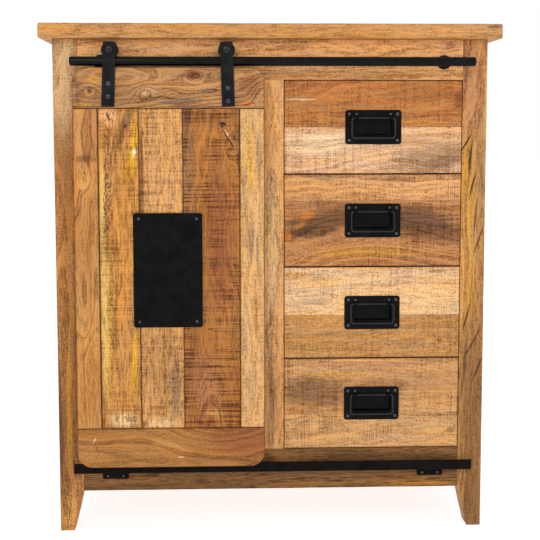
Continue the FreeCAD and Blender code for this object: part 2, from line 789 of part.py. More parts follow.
def make_flat_strap(label, drop, y, x, tilt=None):
    """A flat bar that hangs from the axle, with its corners cut off."""
    body = new_body(label)
    sketch = sketch_on(body, FACE_FRONT)
    draw_outline(sketch, rectangle("strap_width", f"strap_rise + {drop}", "-strap_width / 2", f"-({drop})"))
    pad(body, sketch, "strap_metal", backwards=True)
    bevel(body, "strap_corner", lambda edge: runs_along(edge, Y_AXIS))
    hole = sketch_on(body, FACE_FRONT)
    draw_circle(hole, "0", "0", "wheel_bore")
    pocket(body, hole)
    if tilt:
        swing(body, tilt)
    place(body, x, y, "axle_height")
    return body


def make_hex(label, height, y):
    """A hexagonal head or nut around the axle."""
    prism = doc.addObject("Part::Prism", label)
    prism.Polygon = 6
    bind(prism, "Circumradius", "axle_head_flats / sqrt(3)")
    bind(prism, "Height", height)
    prism.Placement.Rotation = Rotation(X_AXIS, -90)
    place(prism, "0", y, "0")
    return prism


def make_axle(label, x):
    """A bolt through strap, wheel and back plate, with its head in front and its nut behind."""
    strap_front = "(-hanger_half_gap - strap_metal)"
    plate_back = "(hanger_half_gap + strap_metal)"
    head = make_hex("head", "axle_head_height", f"{strap_front} - axle_head_height")
    nut = make_hex("nut", "axle_nut_height", plate_back)
    shank = doc.addObject("Part::Cylinder", "shank")
    bind(shank, "Radius", "axle_diameter / 2")
    bind(shank, "Height", "hanger_gap + 2 * strap_metal + axle_nut_height + 2")
    shank.Placement.Rotation = Rotation(X_AXIS, -90)
    place(shank, "0", strap_front, "0")
    axle = doc.addObject("Part::MultiFuse", label)
    axle.Shapes = [head, shank, nut]
    place(axle, x, "rod_line", "axle_height")
    return axle


def make_hangers():
    bolts = []
    axles = []
    for side, x, tilt, bolt_drop in (
        ("left", "left_hanger", "left_tilt", "left_bolt_drop"),
        ("right", "right_hanger", "right_tilt", "right_bolt_drop"),
    ):
        front = "rod_line - hanger_half_gap - strap_metal"
        strap = make_flat_strap("strap", "strap_drop", front, x, tilt)
        plate = make_flat_strap("back_plate", "back_plate_drop", "rod_line + hanger_half_gap", x)
        group(f"{side}_hanger_strap", [strap, plate])
        axles.append(make_axle("axle", x))
        for number in range(2):
            drop = f"({bolt_drop} + {number} * bolt_pitch)"
            bolt_x = f"{x} - {drop} * sin({tilt} * 1 deg)"
            bolt_z = f"axle_height - {drop} * cos({tilt} * 1 deg)"
            bolts.append(make_head("bolt", "bolt_head", bolt_x, front, bolt_z))
        make_wheel(f"{side}_wheel", x)
    group("hanger_bolts", bolts)
    group("wheel_axles", axles)


def make_wheel(label, x):
    """A turned wheel. The bottom and the flanks of its groove touch a circle a little larger than the rod."""
    slope = "groove_slope * 1 deg"
    rise = "(wheel_diameter / 2 - tread_radius)"
    bottom = f"groove_radius * tan({slope} / 2)"
    crest = f"{bottom} + {rise} / tan({slope})"
    rim, tread, bore, half = "wheel_diameter / 2", "tread_radius", "wheel_bore / 2", "wheel_width / 2"
    body = new_body(label)
    sketch = sketch_on(body, FACE_UP)
    upper = [(rim, half), (rim, crest), (tread, bottom)]
    lower = [(across, f"-({along})") for across, along in reversed(upper)]
    draw_outline(sketch, [(bore, f"-{half}"), (bore, half)] + upper + lower)
    turn = body.newObject("PartDesign::Revolution", "turn")
    turn.Profile = sketch
    turn.ReferenceAxis = (sketch, ["V_Axis"])
    doc.recompute()
    place(body, x, "rod_line", "axle_height")
    node(label, body)


def make_rod():
    body = new_body("rail_rod")
    sketch = sketch_on(body, FACE_SIDE)
    draw_circle(sketch, "0", "0", "rod_diameter")
    pad(body, sketch, "rod_length", both_ways=True)
    bevel(body, "rod_end_bevel", lambda edge: isinstance(edge.Curve, Part.Circle))
    place(body, "gear_shift", "rod_line", "rod_height")
    node("rail_rod", body)


def make_standoff(x):
    """A disc against the wood and a stem whose end is hollowed to seat on the rod."""
    flange = doc.addObject("Part::Cylinder", "flange")
    bind(flange, "Radius", "flange_diameter / 2")
    bind(flange, "Height", "flange_thickness")
    flange.Placement.Rotation = Rotation(X_AXIS, 90)
    stem = doc.addObject("Part::Cylinder", "stem")
    bind(stem, "Radius", "standoff_stem / 2")
    bind(stem, "Height", "rod_standoff")
    stem.Placement.Rotation = Rotation(X_AXIS, 90)
    joined = doc.addObject("Part::Fuse", "joined")
    joined.Base = flange
    joined.Tool = stem
    seat = doc.addObject("Part::Cylinder", "seat")
    bind(seat, "Radius", "rod_radius")
    bind(seat, "Height", "2 * flange_diameter")
    seat.Placement.Rotation = Rotation(Y_AXIS, 90)
    place(seat, "-flange_diameter", "-rod_standoff", "0")
    standoff = doc.addObject("Part::Cut", "standoff")
    standoff.Base = joined
    standoff.Tool = seat
    place(standoff, f"gear_shift + {x}", "case_front", "rod_height")
    return standoff


def make_rail():
    make_rod()
    group("rail_standoffs", [make_standoff(x) for _, x in both_sides("standoff_spacing / 2")])


# The guide at the door's foot

def make_guide_bar():
    x, y = "gear_shift - bar_length / 2", "case_front - bar_standoff - bar_metal"
    bar = board("guide_bar", "bar_length", "bar_metal", "bar_height", x, y, "bar_foot", ease="ease / 2")
    node("guide_bar", bar)


def make_bracket(x):
    """A bent bracket: its foot is screwed to the rail, and its ledge carries the bar."""
    body = new_body("bracket")
    sketch = sketch_on(body, FACE_SIDE)
    ledge = "bracket_drop + 2"
    outline = [
        ("0", "0"), ("0", "bracket_foot_height"), ("-bracket_metal", "bracket_foot_height"),
        ("-bracket_metal", f"{ledge} + bracket_metal"), ("-bar_standoff", f"{ledge} + bracket_metal"),
        ("-bar_standoff", ledge), ("-bracket_metal", ledge), ("-bracket_metal", "0"),
    ]
    draw_outline(sketch, outline)
    pad(body, sketch, "bracket_width", both_ways=True)
    bevel(body, "bracket_metal", lambda edge: runs_along(edge, Y_AXIS) and edge.CenterOfMass.z < 1)
    place(body, f"gear_shift + {x}", "case_front", "bar_foot - bracket_drop")
    return body


def make_brackets():
    group("guide_brackets", [make_bracket(x) for _, x in both_sides("bracket_spacing / 2")])


def make_hook(x):
    """A bent strip: up the back of the door, back over the guide bar, and down behind it."""
    body = new_body("hook")
    sketch = sketch_on(body, FACE_SIDE)
    out = "rod_standoff - door_thickness / 2"
    back = f"({out} - bar_standoff + hook_gap)"
    outline = [
        ("0", "0"), (back, "0"), (back, "-hook_reach"), (f"{back} + hook_metal", "-hook_reach"),
        (f"{back} + hook_metal", "hook_metal"), ("hook_metal", "hook_metal"), ("hook_metal", "hook_rise"),
        ("0", "hook_rise"),
    ]
    draw_outline(sketch, outline)
    pad(body, sketch, "hook_width", both_ways=True)
    place(body, x, "door_back", "bar_foot + bar_height + hook_gap")
    return body


def make_door_guides():
    places = ("door_left + hook_inset", "door_left + door_width - hook_inset")
    group("door_guides", [make_hook(x) for x in places])


def failed(target):
    """Has the object, or anything that it is made of, failed to build?"""
    states = [state for part in [target] + target.OutListRecursive for state in part.State]
    return "Invalid" in states or "Error" in states


def write_parts():
    """Checks every sub-part and writes it to its own file."""
    doc.recompute()
    for name, target in nodes.items():
        if failed(target) or target.Shape.isNull() or not target.Shape.isValid():
            raise RuntimeError(f"{name} did not build")
    os.makedirs("parts", exist_ok=True)
    for name, target in nodes.items():
        target.Shape.exportStep(f"parts/{name}.step")
        print(f"{name}: {len(target.Shape.Solids)} solid, {target.Shape.Volume / 1000:.1f} cm3")


make_top_board()
make_posts()
make_front_rails()
make_carcass_rails()
make_side_panels()
make_back_panel()
make_partition()
make_bottom_board()
make_shelf()
make_runners()
make_drawers()
make_door_frame()
make_door_planks()
make_plaque()
make_hangers()
make_rail()
make_guide_bar()
make_brackets()
make_door_guides()
write_parts()
print(f"{len(nodes)} sub-parts")
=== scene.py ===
# %% [markdown]
# # A sideboard with a rolling barn door
# The piece is built in oiled mango wood with black iron fittings. Boards cut from this tree differ a lot:
# one is cream, the next is orange or grey-brown, and most carry saw marks, yellow streaks and small cracks.
# The frame comes from the CAD model. Here each board and each fitting gets its softened edges and its own
# finish.

import math
from collections import namedtuple
from functools import partial

import bpy
import numpy as np
from mathutils import Matrix, Vector


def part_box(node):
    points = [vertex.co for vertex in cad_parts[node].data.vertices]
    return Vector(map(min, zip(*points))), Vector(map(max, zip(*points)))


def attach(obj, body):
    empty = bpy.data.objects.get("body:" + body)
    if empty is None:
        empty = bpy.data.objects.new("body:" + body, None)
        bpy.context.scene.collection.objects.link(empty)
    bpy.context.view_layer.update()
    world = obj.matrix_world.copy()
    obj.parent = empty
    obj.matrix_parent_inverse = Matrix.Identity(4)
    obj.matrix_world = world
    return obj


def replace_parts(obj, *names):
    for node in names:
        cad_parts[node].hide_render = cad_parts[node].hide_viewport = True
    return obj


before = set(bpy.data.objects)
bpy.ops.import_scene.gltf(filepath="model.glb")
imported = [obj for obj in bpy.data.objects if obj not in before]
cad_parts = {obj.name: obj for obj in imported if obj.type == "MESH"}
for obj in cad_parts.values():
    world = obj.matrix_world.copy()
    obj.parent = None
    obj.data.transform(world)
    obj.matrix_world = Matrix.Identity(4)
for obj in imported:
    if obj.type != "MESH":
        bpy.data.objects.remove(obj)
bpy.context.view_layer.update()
MM = 0.001


def node_box(node):
    """The lowest and highest corner of a CAD node, as arrays in metres."""
    low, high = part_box(node)
    return np.array(low), np.array(high)


def node_middle(node):
    """The middle of a CAD node, and half its size."""
    low, high = node_box(node)
    return (low + high) / 2, (high - low) / 2


def rounded(values):
    """Lengths to a tenth of a millimetre, or other numbers to four places, for printing."""
    return [round(float(v), 4) for v in values]


CASE_FRONT = node_box("front_top_rail")[0][1]

# %% [markdown]
# ## Camera
# The photographer stood a little left of the middle and slightly below the top, about 2.3 m away, and
# looked down a little. A long lens at that distance keeps the uprights almost parallel.

# %% Camera
PICTURE = 540
LENS_IN_PIXELS = 1305.5
MIDDLE_ACROSS, MIDDLE_DOWN = 272.1, 269.4
EYE = Vector((-0.0995, CASE_FRONT - 2.3004, 0.7197))
TURN, DIP, LEAN = 0.0436, 0.1076, -0.0009
SENSOR = 36

ahead = Vector((math.sin(TURN) * math.cos(DIP), math.cos(TURN) * math.cos(DIP), -math.sin(DIP)))
level = ahead.cross(Vector((0, 0, 1))).normalized()
upright = level.cross(ahead)
right = level * math.cos(LEAN) + upright * math.sin(LEAN)
up = upright * math.cos(LEAN) - level * math.sin(LEAN)

camera_data = bpy.data.cameras.new("camera")
camera = bpy.data.objects.new("camera", camera_data)
bpy.context.scene.collection.objects.link(camera)
camera.matrix_world = Matrix([[*column, 0] for column in (right, up, -ahead)] + [[*EYE, 1]]).transposed()
camera_data.sensor_width = SENSOR
camera_data.lens = LENS_IN_PIXELS * SENSOR / PICTURE
camera_data.shift_x = (PICTURE / 2 - MIDDLE_ACROSS) / PICTURE
camera_data.shift_y = (MIDDLE_DOWN - PICTURE / 2) / PICTURE
camera_data.clip_end = 80
bpy.context.scene.camera = camera
print("lens", round(camera_data.lens, 1), "mm, eye", [round(v, 3) for v in EYE])

# %% [markdown]
# ## Helpers for shapes
# Nearly every piece here is a stack of closed outlines: a board's section repeated along its length, a
# plate's outline repeated through its thickness, a turned part's circles along its axis. So one function
# turns a list of outlines into a closed surface, and the others only say which outlines to stack.

# %% Shape helpers
AXES = {"x": (1, 2, 0), "y": (0, 2, 1), "z": (0, 1, 2)}
QUARTER_TURN, FULL_TURN = math.pi / 2, 2 * math.pi
TINY = 1e-5


def add_piece(name, body, material, points, faces):
    """A smooth mesh object at the origin that rides on its body; broad flat faces stay flat in the shading."""
    mesh = bpy.data.meshes.new(name)
    mesh.from_pydata(points.tolist(), [], faces)
    mesh.update()
    mesh.shade_smooth()
    mesh.materials.append(material)
    piece = bpy.data.objects.new(name, mesh)
    bpy.context.scene.collection.objects.link(piece)
    piece.modifiers.new("even_normals", "WEIGHTED_NORMAL")
    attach(piece, body)
    return piece


def stands_for(piece, node):
    """The piece takes the CAD node's place, and the node is hidden."""
    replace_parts(piece, node)


def facing_out(rings, ends):
    """The rings, reversed where their surface would face inwards: 6 V is the sum of a . (b x c)."""
    local = rings - rings.mean((0, 1))
    beside = np.roll(local, -1, axis=1)
    above, beyond = np.roll(local, -1, axis=0), np.roll(beside, -1, axis=0)
    shares = np.cross(local, beside) * beyond + np.cross(local, beyond) * above
    volume = shares.sum() if ends == "joined" else shares[:-1].sum()
    if ends == "flat":
        volume += np.cross(local[-1], beside[-1]).sum(0) @ local[-1][0]
        volume -= np.cross(local[0], beside[0]).sum(0) @ local[0][0]
    return rings[:, ::-1] if volume < 0 else rings


def skin(rings, ends="flat"):
    """Quads between each ring of points and the next; the ends are flat faces, or joined to each other."""
    rings = facing_out(np.asarray(rings), ends)
    count, around = rings.shape[:2]
    index = np.arange(count * around).reshape(count, around)
    if ends == "joined":
        index = np.concatenate([index, index[:1]])
    following = np.roll(index, -1, axis=1)
    quads = np.stack([index[:-1], following[:-1], following[1:], index[1:]], -1).reshape(-1, 4).tolist()
    if ends == "flat":
        quads += [index[0][::-1].tolist(), index[-1].tolist()]
    return rings.reshape(-1, 3), quads


def rays(angle):
    """The unit vectors (cos a, sin a)."""
    return np.stack([np.cos(angle), np.sin(angle)], 1)


def all_round(count):
    """Angles evenly round a full turn."""
    return np.linspace(0, FULL_TURN, count, endpoint=False)


def rounded_rectangle(half_across, half_up, radius, steps):
    """Points round a rectangle: at each corner, centre + radius (cos a, sin a) over a quarter turn."""
    radius = max(min(radius, half_across, half_up), TINY)
    angle = (np.arange(4)[:, None] * QUARTER_TURN + np.linspace(0, QUARTER_TURN, steps)).ravel()
    signs = np.repeat([(1, 1), (-1, 1), (-1, -1), (1, -1)], steps, axis=0)
    return signs * (half_across - radius, half_up - radius) + radius * rays(angle)


def in_space(axis, centre, flat, along):
    """Flat points (n, 2) set across an axis at a distance along it, which may differ from point to point."""
    ring = np.zeros((len(flat), 3))
    for number, offset in zip(AXES[axis], (flat[:, 0], flat[:, 1], along)):
        ring[:, number] = centre[number] + offset
    return ring


def quarter(radius, steps=4):
    """Pairs (inset, rise) of a rounded-over edge: inset = r (1 - sin a) while rise = r (1 - cos a)."""
    angle = np.linspace(0, QUARTER_TURN, steps)
    return [(radius * (1 - math.sin(a)), radius * (1 - math.cos(a))) for a in angle]


def through(low, high, edge, steps=4):
    """Pairs (distance, inset) from one face to the other of a piece that is rounded over at both."""
    start = [(low + rise, inset) for inset, rise in quarter(edge, steps)]
    return start + [(high - rise, inset) for inset, rise in reversed(quarter(edge, steps))]


def plate(name, body, material, axis, centre, half, corner, low, high, edge, about=None):
    """A flat piece through its thickness, from low to high, its outline rounded over by edge on both faces.
    about, if given, is a (pivot, angle) that the piece is swung by round the Y axis."""
    rings = []
    for along, inset in through(low, high, edge):
        flat = rounded_rectangle(half[0] - inset, half[1] - inset, corner - inset, 6)
        rings.append(in_space(axis, centre, flat, along))
    points, faces = skin(rings)
    if about:
        pivot, angle = about
        points = (points - pivot) @ np.array(Matrix.Rotation(angle, 3, "Y")).T + pivot
    return add_piece(name, body, material, points, faces)


BOARD_STEP = 35 * MM


def board(name, body, material, low, high, grain, edge=1.2 * MM, wobble=0.15 * MM, seed=0, section=None):
    """A sawn board: a rounded rectangle carried along the grain, with sin(31 z) and sin(77 z) waves of a
    tenth of a millimetre in its width, sin(53 z) waves in the roundness of its edges, and rounded-over ends.
    section, if given, returns the two sides of the board at a height along the grain."""
    low, high = np.asarray(low), np.asarray(high)
    first, second, third = AXES[grain]
    phase = np.random.default_rng(seed).uniform(0, FULL_TURN, 3)
    middle = (low + high) / 2
    count = max(3, int((high - low)[third] / BOARD_STEP))
    ends = through(low[third], high[third], edge)
    stations = np.linspace(low[third] + edge, high[third] - edge, count)
    rings = []
    for along, inset in ends[:3] + [(along, 0.0) for along in stations] + ends[-3:]:
        start, end = section(along) if section else (low[first], high[first])
        trim = wobble * (1 + 0.6 * math.sin(31 * along + phase[0]) + 0.4 * math.sin(77 * along + phase[1]))
        half_across = (end - start) / 2 - inset - trim * 0.5
        half_up = (high[second] - low[second]) / 2 - inset - trim * 0.25
        corner = edge * (1 + 0.35 * math.sin(53 * along + phase[2])) - inset
        flat = rounded_rectangle(half_across, half_up, corner, 4)
        flat[:, 0] += (start + end) / 2 - middle[first]
        rings.append(in_space(grain, middle, flat, along - middle[third]))
    return add_piece(name, body, material, *skin(rings))


def turned(name, body, material, axis, centre, profile, around, ends="flat"):
    """A lathe-turned piece: the point (radius, distance) of the profile goes once round the axis."""
    circle = rays(all_round(around))
    rings = [in_space(axis, centre, circle * max(radius, TINY), along) for radius, along in profile]
    return add_piece(name, body, material, *skin(rings, ends))


print("a rounded rectangle has", len(rounded_rectangle(1, 1, 0.1, 4)), "points")

# %% [markdown]
# ## Helpers for finishes
# A finish is a small network of shader nodes. One helper adds any node and fills its inputs, and the others
# name the few kinds that wood and iron need.

# %% Shader helpers
def srgb(code):
    """A colour written as six hexadecimal digits, as linear light."""
    parts = [int(code[i:i + 2], 16) / 255 for i in (0, 2, 4)]
    return [p / 12.92 if p <= 0.04045 else ((p + 0.055) / 1.055) ** 2.4 for p in parts] + [1.0]


def give(tree, socket, given):
    """Sets an input to a number or colour, or links it to another node's output."""
    if isinstance(given, bpy.types.NodeSocket):
        tree.links.new(given, socket)
    else:
        socket.default_value = given


def add_node(tree, kind, inputs, output=0, **settings):
    """Adds a node with its settings, fills its inputs from pairs (name or number, what it gets)."""
    made = tree.nodes.new(f"ShaderNode{kind}")
    for key, setting in settings.items():
        setattr(made, key, setting)
    for key, given in inputs:
        give(tree, made.inputs[key], given)
    return made.outputs[output]


def maths(tree, operation, *given):
    return add_node(tree, "Math", enumerate(given), operation=operation)


def vector_maths(tree, operation, *given):
    output = "Value" if operation == "LENGTH" else "Vector"
    return add_node(tree, "VectorMath", enumerate(given), output, operation=operation)


def stretch(tree, value, low, high, to_low=0.0, to_high=1.0, kind="SMOOTHSTEP"):
    """The value's share of the way from low to high, held at the ends, on the new range."""
    return add_node(tree, "MapRange", enumerate((value, low, high, to_low, to_high)), interpolation_type=kind)


def combined(tree, *parts):
    return add_node(tree, "CombineXYZ", enumerate(parts))


def placed(tree, vector, move=(0, 0, 0), turn=(0, 0, 0), scale=(1, 1, 1), kind="TEXTURE"):
    return add_node(tree, "Mapping", enumerate((vector, move, turn, scale)), vector_type=kind)


def noise(tree, vector, scale, detail=2.0, rough=0.5):
    """Noise between 0 and 1, about 1/scale metres wide; scale may be one number for each axis."""
    if isinstance(scale, tuple):
        vector, scale = placed(tree, vector, scale=scale, kind="POINT"), 1.0
    inputs = {"Vector": vector, "Scale": scale, "Detail": detail, "Roughness": rough}
    return add_node(tree, "TexNoise", inputs.items())


def line_noise(tree, position, detail):
    """Noise along a line, about as wide as one unit of the position."""
    inputs = {"W": position, "Scale": 1.0, "Detail": detail, "Roughness": 0.55}
    return add_node(tree, "TexNoise", inputs.items(), noise_dimensions="1D")


def mixed(tree, share, first, second, blend="MIX"):
    inputs = ((0, share), (6, first), (7, second))
    return add_node(tree, "Mix", inputs, 2, data_type="RGBA", blend_type=blend)


def new_material(name):
    """A new material, its node tree and its shader."""
    material = bpy.data.materials.new(name)
    material.use_nodes = True
    tree = material.node_tree
    return material, tree, tree.nodes["Principled BSDF"]


def surface(tree, shader, colour, rough, height, strength, depth, gloss):
    """Colour, roughness, relief of the given depth, and how strongly the surface mirrors."""
    relief = add_node(tree, "Bump", {"Height": height, "Strength": strength, "Distance": depth}.items())
    for key, given in (("Base Color", colour), ("Roughness", rough), ("Normal", relief)):
        give(tree, shader.inputs[key], given)
    shader.inputs["Specular IOR Level"].default_value = gloss


print("the grey 808080 in linear light:", rounded(srgb("808080")[:3]))

# %% [markdown]
# ## Wood
# All boards share one recipe, worked out on the board's own coordinates, with the first one along the
# grain. Growth rings are distances from a pith line that lies behind the face at a slight slant, so the
# rings leave the face as arcs and pointed arches, as they do on a sawn plank. Fibres and pores are noises
# stretched along the grain, and saw marks are noise stretched across it.
#
# What makes these boards look like themselves are their marks: knots, cracks, gold streaks and grey stains.
# A mark is an ellipse on the face, in millimetres from the middle of the case and from the floor. Its turn
# is anticlockwise, in degrees. Most kinds lay a colour over the wood. An eye has no colour: it adds a hump
# to the ring distance, so that the rings close round it.

# %% Marks in the wood
Mark = namedtuple("Mark", "kind x z wide tall colour strength turn", defaults=(0,))
EDGE_START = {"stain": 1.3, "spot": 1.15, "crack": 1.25, "speckle": 1.25}
EDGE_END = {"stain": 0.45, "spot": 0.7, "crack": 0.55, "speckle": 0.75}
TORN = {"stain": 0.75, "spot": 0.35, "crack": 0.6, "speckle": 0.5}
stain, spot, crack, speckle = (partial(Mark, kind) for kind in TORN)

CREAM, PALE, PEACH, LEMON = "e8c694", "f3dfb8", "e0a873", "d9b465"
HONEY, TAN, AMBER, ORANGE = "cf9852", "b88450", "bb7a35", "c4722c"
GOLD, YELLOW, OLIVE, RUST = "c98f22", "dca526", "7c6220", "7c3a1c"
ROSE, REDWOOD, UMBER, WALNUT = "b0785a", "8f5230", "85572f", "614028"
GREY, SLATE, PLUM, DARK, BLACK = "8b6c4c", "75604c", "6e4a40", "33190d", "150a07"


def nail(x, z):
    return spot(x, z, 1.3, 1.3, DARK, 0.85)


def eye(x, z, wide, tall, hump, turn=0):
    return Mark("eye", x, z, wide, tall, None, hump, turn)


def mark_distance(tree, here, mark):
    """1 on the mark's edge, 0 in its middle."""
    place, size = (mark.x * MM, 0, mark.z * MM), (mark.wide * MM, 1e4, mark.tall * MM)
    return vector_maths(tree, "LENGTH", placed(tree, here, place, (0, -math.radians(mark.turn), 0), size))


print("kinds of marks:", *TORN, "eye")


# %% The wood recipe
# Each noise: its cells in a metre along the grain, across it and through it, its detail and its roughness
PATCHES = (2.6, 20, 20), 3
DRIFT = (5, 15, 15), 2
STREAKS = (10, 150, 150), 4, 0.7
FIBRES = (45, 340, 340), 2, 0.6
HUES = (9, 70, 70), 3, 0.6
FLECKS = (190, 420, 420), 2, 0.6
SAWN_AREAS = (14, 26, 26), 2
PORES = (110, 430, 430), 2, 0.6
NAP = 330.0, 1, 0.6
GRAIN_ORDER = {"x": (0, 2, 1), "z": (2, 0, 1), "y": (1, 2, 0)}


def wood(name, tones, grain, extent, seed, pith=(60, 45), slant=(0.05, 0.02), ring=5, figure=0.6, streak=0.6,
         pore=0.5, saw=0.3, saw_pitch=2.7, rough=0.6, rim=0.0, joint=None, lower=None, marks=()):
    """An oiled board.
    tones are the two colours that drift through it, grain the axis of its fibres and extent its two corners.
    pith is how far the centre of the tree lies beside the board's middle and behind it, in mm, and slant how
    fast that line moves in both directions along the board. ring is the width of a ring in mm. figure,
    streak, pore, saw and rough are how strongly rings, streaks, pores, saw marks and the nap of the surface
    show, and saw_pitch is the pitch of the saw marks in mm. The number after rough darkens the outline of
    the face: painted shade of the joints and grooves, with dark wax there too. A front that
    is glued up from two boards has its joint at that height and the tones of its lower board in lower."""
    material, tree, shader = new_material(name)
    here = add_node(tree, "TexCoord", (), "Object")
    multiply_add, spread = partial(maths, tree, "MULTIPLY_ADD"), partial(stretch, tree)
    low, high = np.asarray(extent[0]), np.asarray(extent[1])
    middle = (low + high) / 2
    place = add_node(tree, "SeparateXYZ", [(0, here)]).node.outputs
    along, across, depth = [
        maths(tree, "SUBTRACT", place[axis], float(middle[axis])) for axis in GRAIN_ORDER[grain]
    ]
    upper = maths(tree, "GREATER_THAN", place[2], joint * MM) if joint else 0.0
    shift = [multiply_add(upper, 5.3 * step, seed * step) for step in (1.37, 0.73, 0.31)]
    fibre_place = vector_maths(tree, "ADD", combined(tree, along, across, depth), combined(tree, *shift))
    grainy = partial(noise, tree, fibre_place)
    streaks, fibres = grainy(*STREAKS), grainy(*FIBRES)

    beside = multiply_add(upper, -1.6 * pith[0] * MM, pith[0] * MM)
    beside = maths(tree, "SUBTRACT", multiply_add(along, -slant[0], across), beside)
    behind = maths(tree, "SUBTRACT", multiply_add(along, -slant[1], depth), pith[1] * MM)
    rings = vector_maths(tree, "LENGTH", combined(tree, beside, behind, 0.0))
    rings = multiply_add(grainy(*DRIFT), 0.035, rings)
    rings = multiply_add(streaks, 0.003, rings)
    for mark in marks:
        if mark.kind == "eye":
            hump = spread(mark_distance(tree, here, mark), 1.0, 0.0, 0.0, mark.strength * MM)
            rings = maths(tree, "ADD", rings, hump)
    ring_place = maths(tree, "MULTIPLY", rings, 1000 / ring)
    line = spread(line_noise(tree, ring_place, 3.0), 0.33, 0.65)
    vein_place = multiply_add(ring_place, 0.7, 40.0)
    off_vein = maths(tree, "ABSOLUTE", maths(tree, "SUBTRACT", line_noise(tree, vein_place, 1.0), 0.5))
    vein = spread(off_vein, 0.07, 0.0)

    broad = spread(grainy(*PATCHES), 0.36, 0.64)
    colour = mixed(tree, broad, srgb(tones[0]), srgb(tones[1]))
    if lower:
        colour = mixed(tree, upper, mixed(tree, broad, srgb(lower[0]), srgb(lower[1])), colour)
    hue = mixed(tree, spread(grainy(*HUES), 0.34, 0.66), (1.06, 1.0, 0.80, 1), (0.95, 0.98, 1.05, 1))
    colour = mixed(tree, 1.0, colour, hue, "MULTIPLY")
    torn = multiply_add(fibres, 0.6, multiply_add(streaks, 1.0, -0.8))
    flecks = spread(grainy(*FLECKS), 0.48, 0.58)
    for mark in marks:
        if mark.kind == "eye":
            continue
        away = multiply_add(torn, TORN[mark.kind], mark_distance(tree, here, mark))
        share = spread(away, EDGE_START[mark.kind], EDGE_END[mark.kind], 0.0, mark.strength)
        if mark.kind == "speckle":
            share = maths(tree, "MULTIPLY", share, flecks)
        colour = mixed(tree, share, colour, srgb(mark.colour))

    cuts = spread(grainy((1000 / saw_pitch, 6, 6), 1, 0.6), 0.47, 0.60)
    scratch = maths(tree, "MULTIPLY", cuts, spread(grainy(*SAWN_AREAS), 0.36, 0.62, kind="LINEAR"))
    pores = spread(grainy(*PORES), 0.54, 0.7)
    tone = 0.78 - 0.2 * figure - 0.6 * streak - 0.3 * rough
    for layer, strength in (
        (line, 0.6 * figure),
        (vein, -0.45 * figure),
        (spread(streaks, 0.3, 0.7), 0.4 * streak),
        (spread(fibres, 0.3, 0.7), 0.8 * streak),
        (spread(grainy(*NAP), 0.25, 0.75), 0.6 * rough),
        (scratch, -0.5 * saw),
        (pores, -0.28 * pore),
    ):
        tone = multiply_add(layer, strength, tone)

    dark, light = [
        mixed(tree, 1.0, colour, tint, "MULTIPLY") for tint in ((0.30, 0.20, 0.14, 1), (1.26, 1.24, 1.18, 1))
    ]
    final = mixed(tree, spread(tone, 0.0, 1.0, kind="LINEAR"), dark, light)
    # painted shade: the face darkens towards its outline, as the joints and grooves would be in shade, with
    # dark wax there too
    if rim:
        final = mixed(tree, 1.0, final, outline_shade(tree, place, low, high, rim), "MULTIPLY")
    if joint:
        seam = maths(tree, "ABSOLUTE", maths(tree, "SUBTRACT", place[2], joint * MM))
        final = mixed(tree, spread(seam, 0.9 * MM, 0.2 * MM, 0.0, 0.45), final, srgb(DARK))
    sheen = spread(tone, 0.0, 1.0, 0.66, 0.46)
    surface(tree, shader, final, sheen, multiply_add(pores, -0.5, tone), 0.5, 0.6 * MM, 0.2)
    return material


def outline_shade(tree, place, low, high, rim):
    """Painted shade of the joints and grooves, with dark wax: 1 in the middle of the face, falling to 1 less
    the given strength within two millimetres of its outline.
    """
    nearest = 1.0
    for axis in (0, 2):
        for edge, sign in ((low[axis], 1), (high[axis], -1)):
            gap = maths(tree, "MULTIPLY_ADD", place[axis], sign, -sign * float(edge))
            nearest = maths(tree, "MINIMUM", nearest, gap)
    shade = stretch(tree, nearest, 0.4 * MM, 2.4 * MM, 1 - rim, 1.0)
    return combined(tree, *[maths(tree, "POWER", shade, power) for power in (1.0, 1.1, 1.2)])


print("fibres are about", round(1000 / FIBRES[0][1], 1), "mm wide and", round(1000 / FIBRES[0][0]), "mm long")

# %% [markdown]
# ## Iron
# The fittings are mild steel with a satin black coating. It is a little lighter where it was handled, and
# its fine texture spreads the highlights.

# %% The iron recipe
def iron(name, colour, rough, texture, gloss):
    """Satin black: in soft clouds the colour drifts up to double its level, and the roughness a little."""
    material, tree, shader = new_material(name)
    here = add_node(tree, "TexCoord", (), "Object")
    cloud = stretch(tree, noise(tree, here, 45.0, 4, 0.6), 0.3, 0.7)
    brighter = [c * 2.0 + 0.001 for c in srgb(colour)[:3]] + [1.0]
    colours = mixed(tree, cloud, srgb(colour), brighter)
    sheen = stretch(tree, cloud, 0.0, 1.0, rough - 0.05, rough + 0.08)
    surface(tree, shader, colours, sheen, noise(tree, here, 1500.0, 2), texture, 0.06 * MM, gloss)
    return material


rod_black = iron("rod_black", "050505", 0.17, 0.08, 0.12)
strap_black = iron("strap_black", "0f0f10", 0.30, 0.25, 0.11)
plate_black = iron("plate_black", "090909", 0.40, 0.5, 0.05)
pull_black = iron("pull_black", "050506", 0.22, 0.15, 0.075)
bail_black = iron("bail_black", "0b0b0c", 0.22, 0.1, 0.34)
bar_black = iron("bar_black", "0c0807", 0.45, 0.4, 0.05)
screw_black = iron("screw_black", "262627", 0.18, 0.1, 0.65)
print("blacks:", *[material.name for material in bpy.data.materials if material.name.endswith("_black")])

# %% [markdown]
# ## Top
# One thick board with rounded edges, past the case on all sides. A box with a bevel would come close, but
# a section carried along the grain also gets the faint waves that a saw and a sander leave.

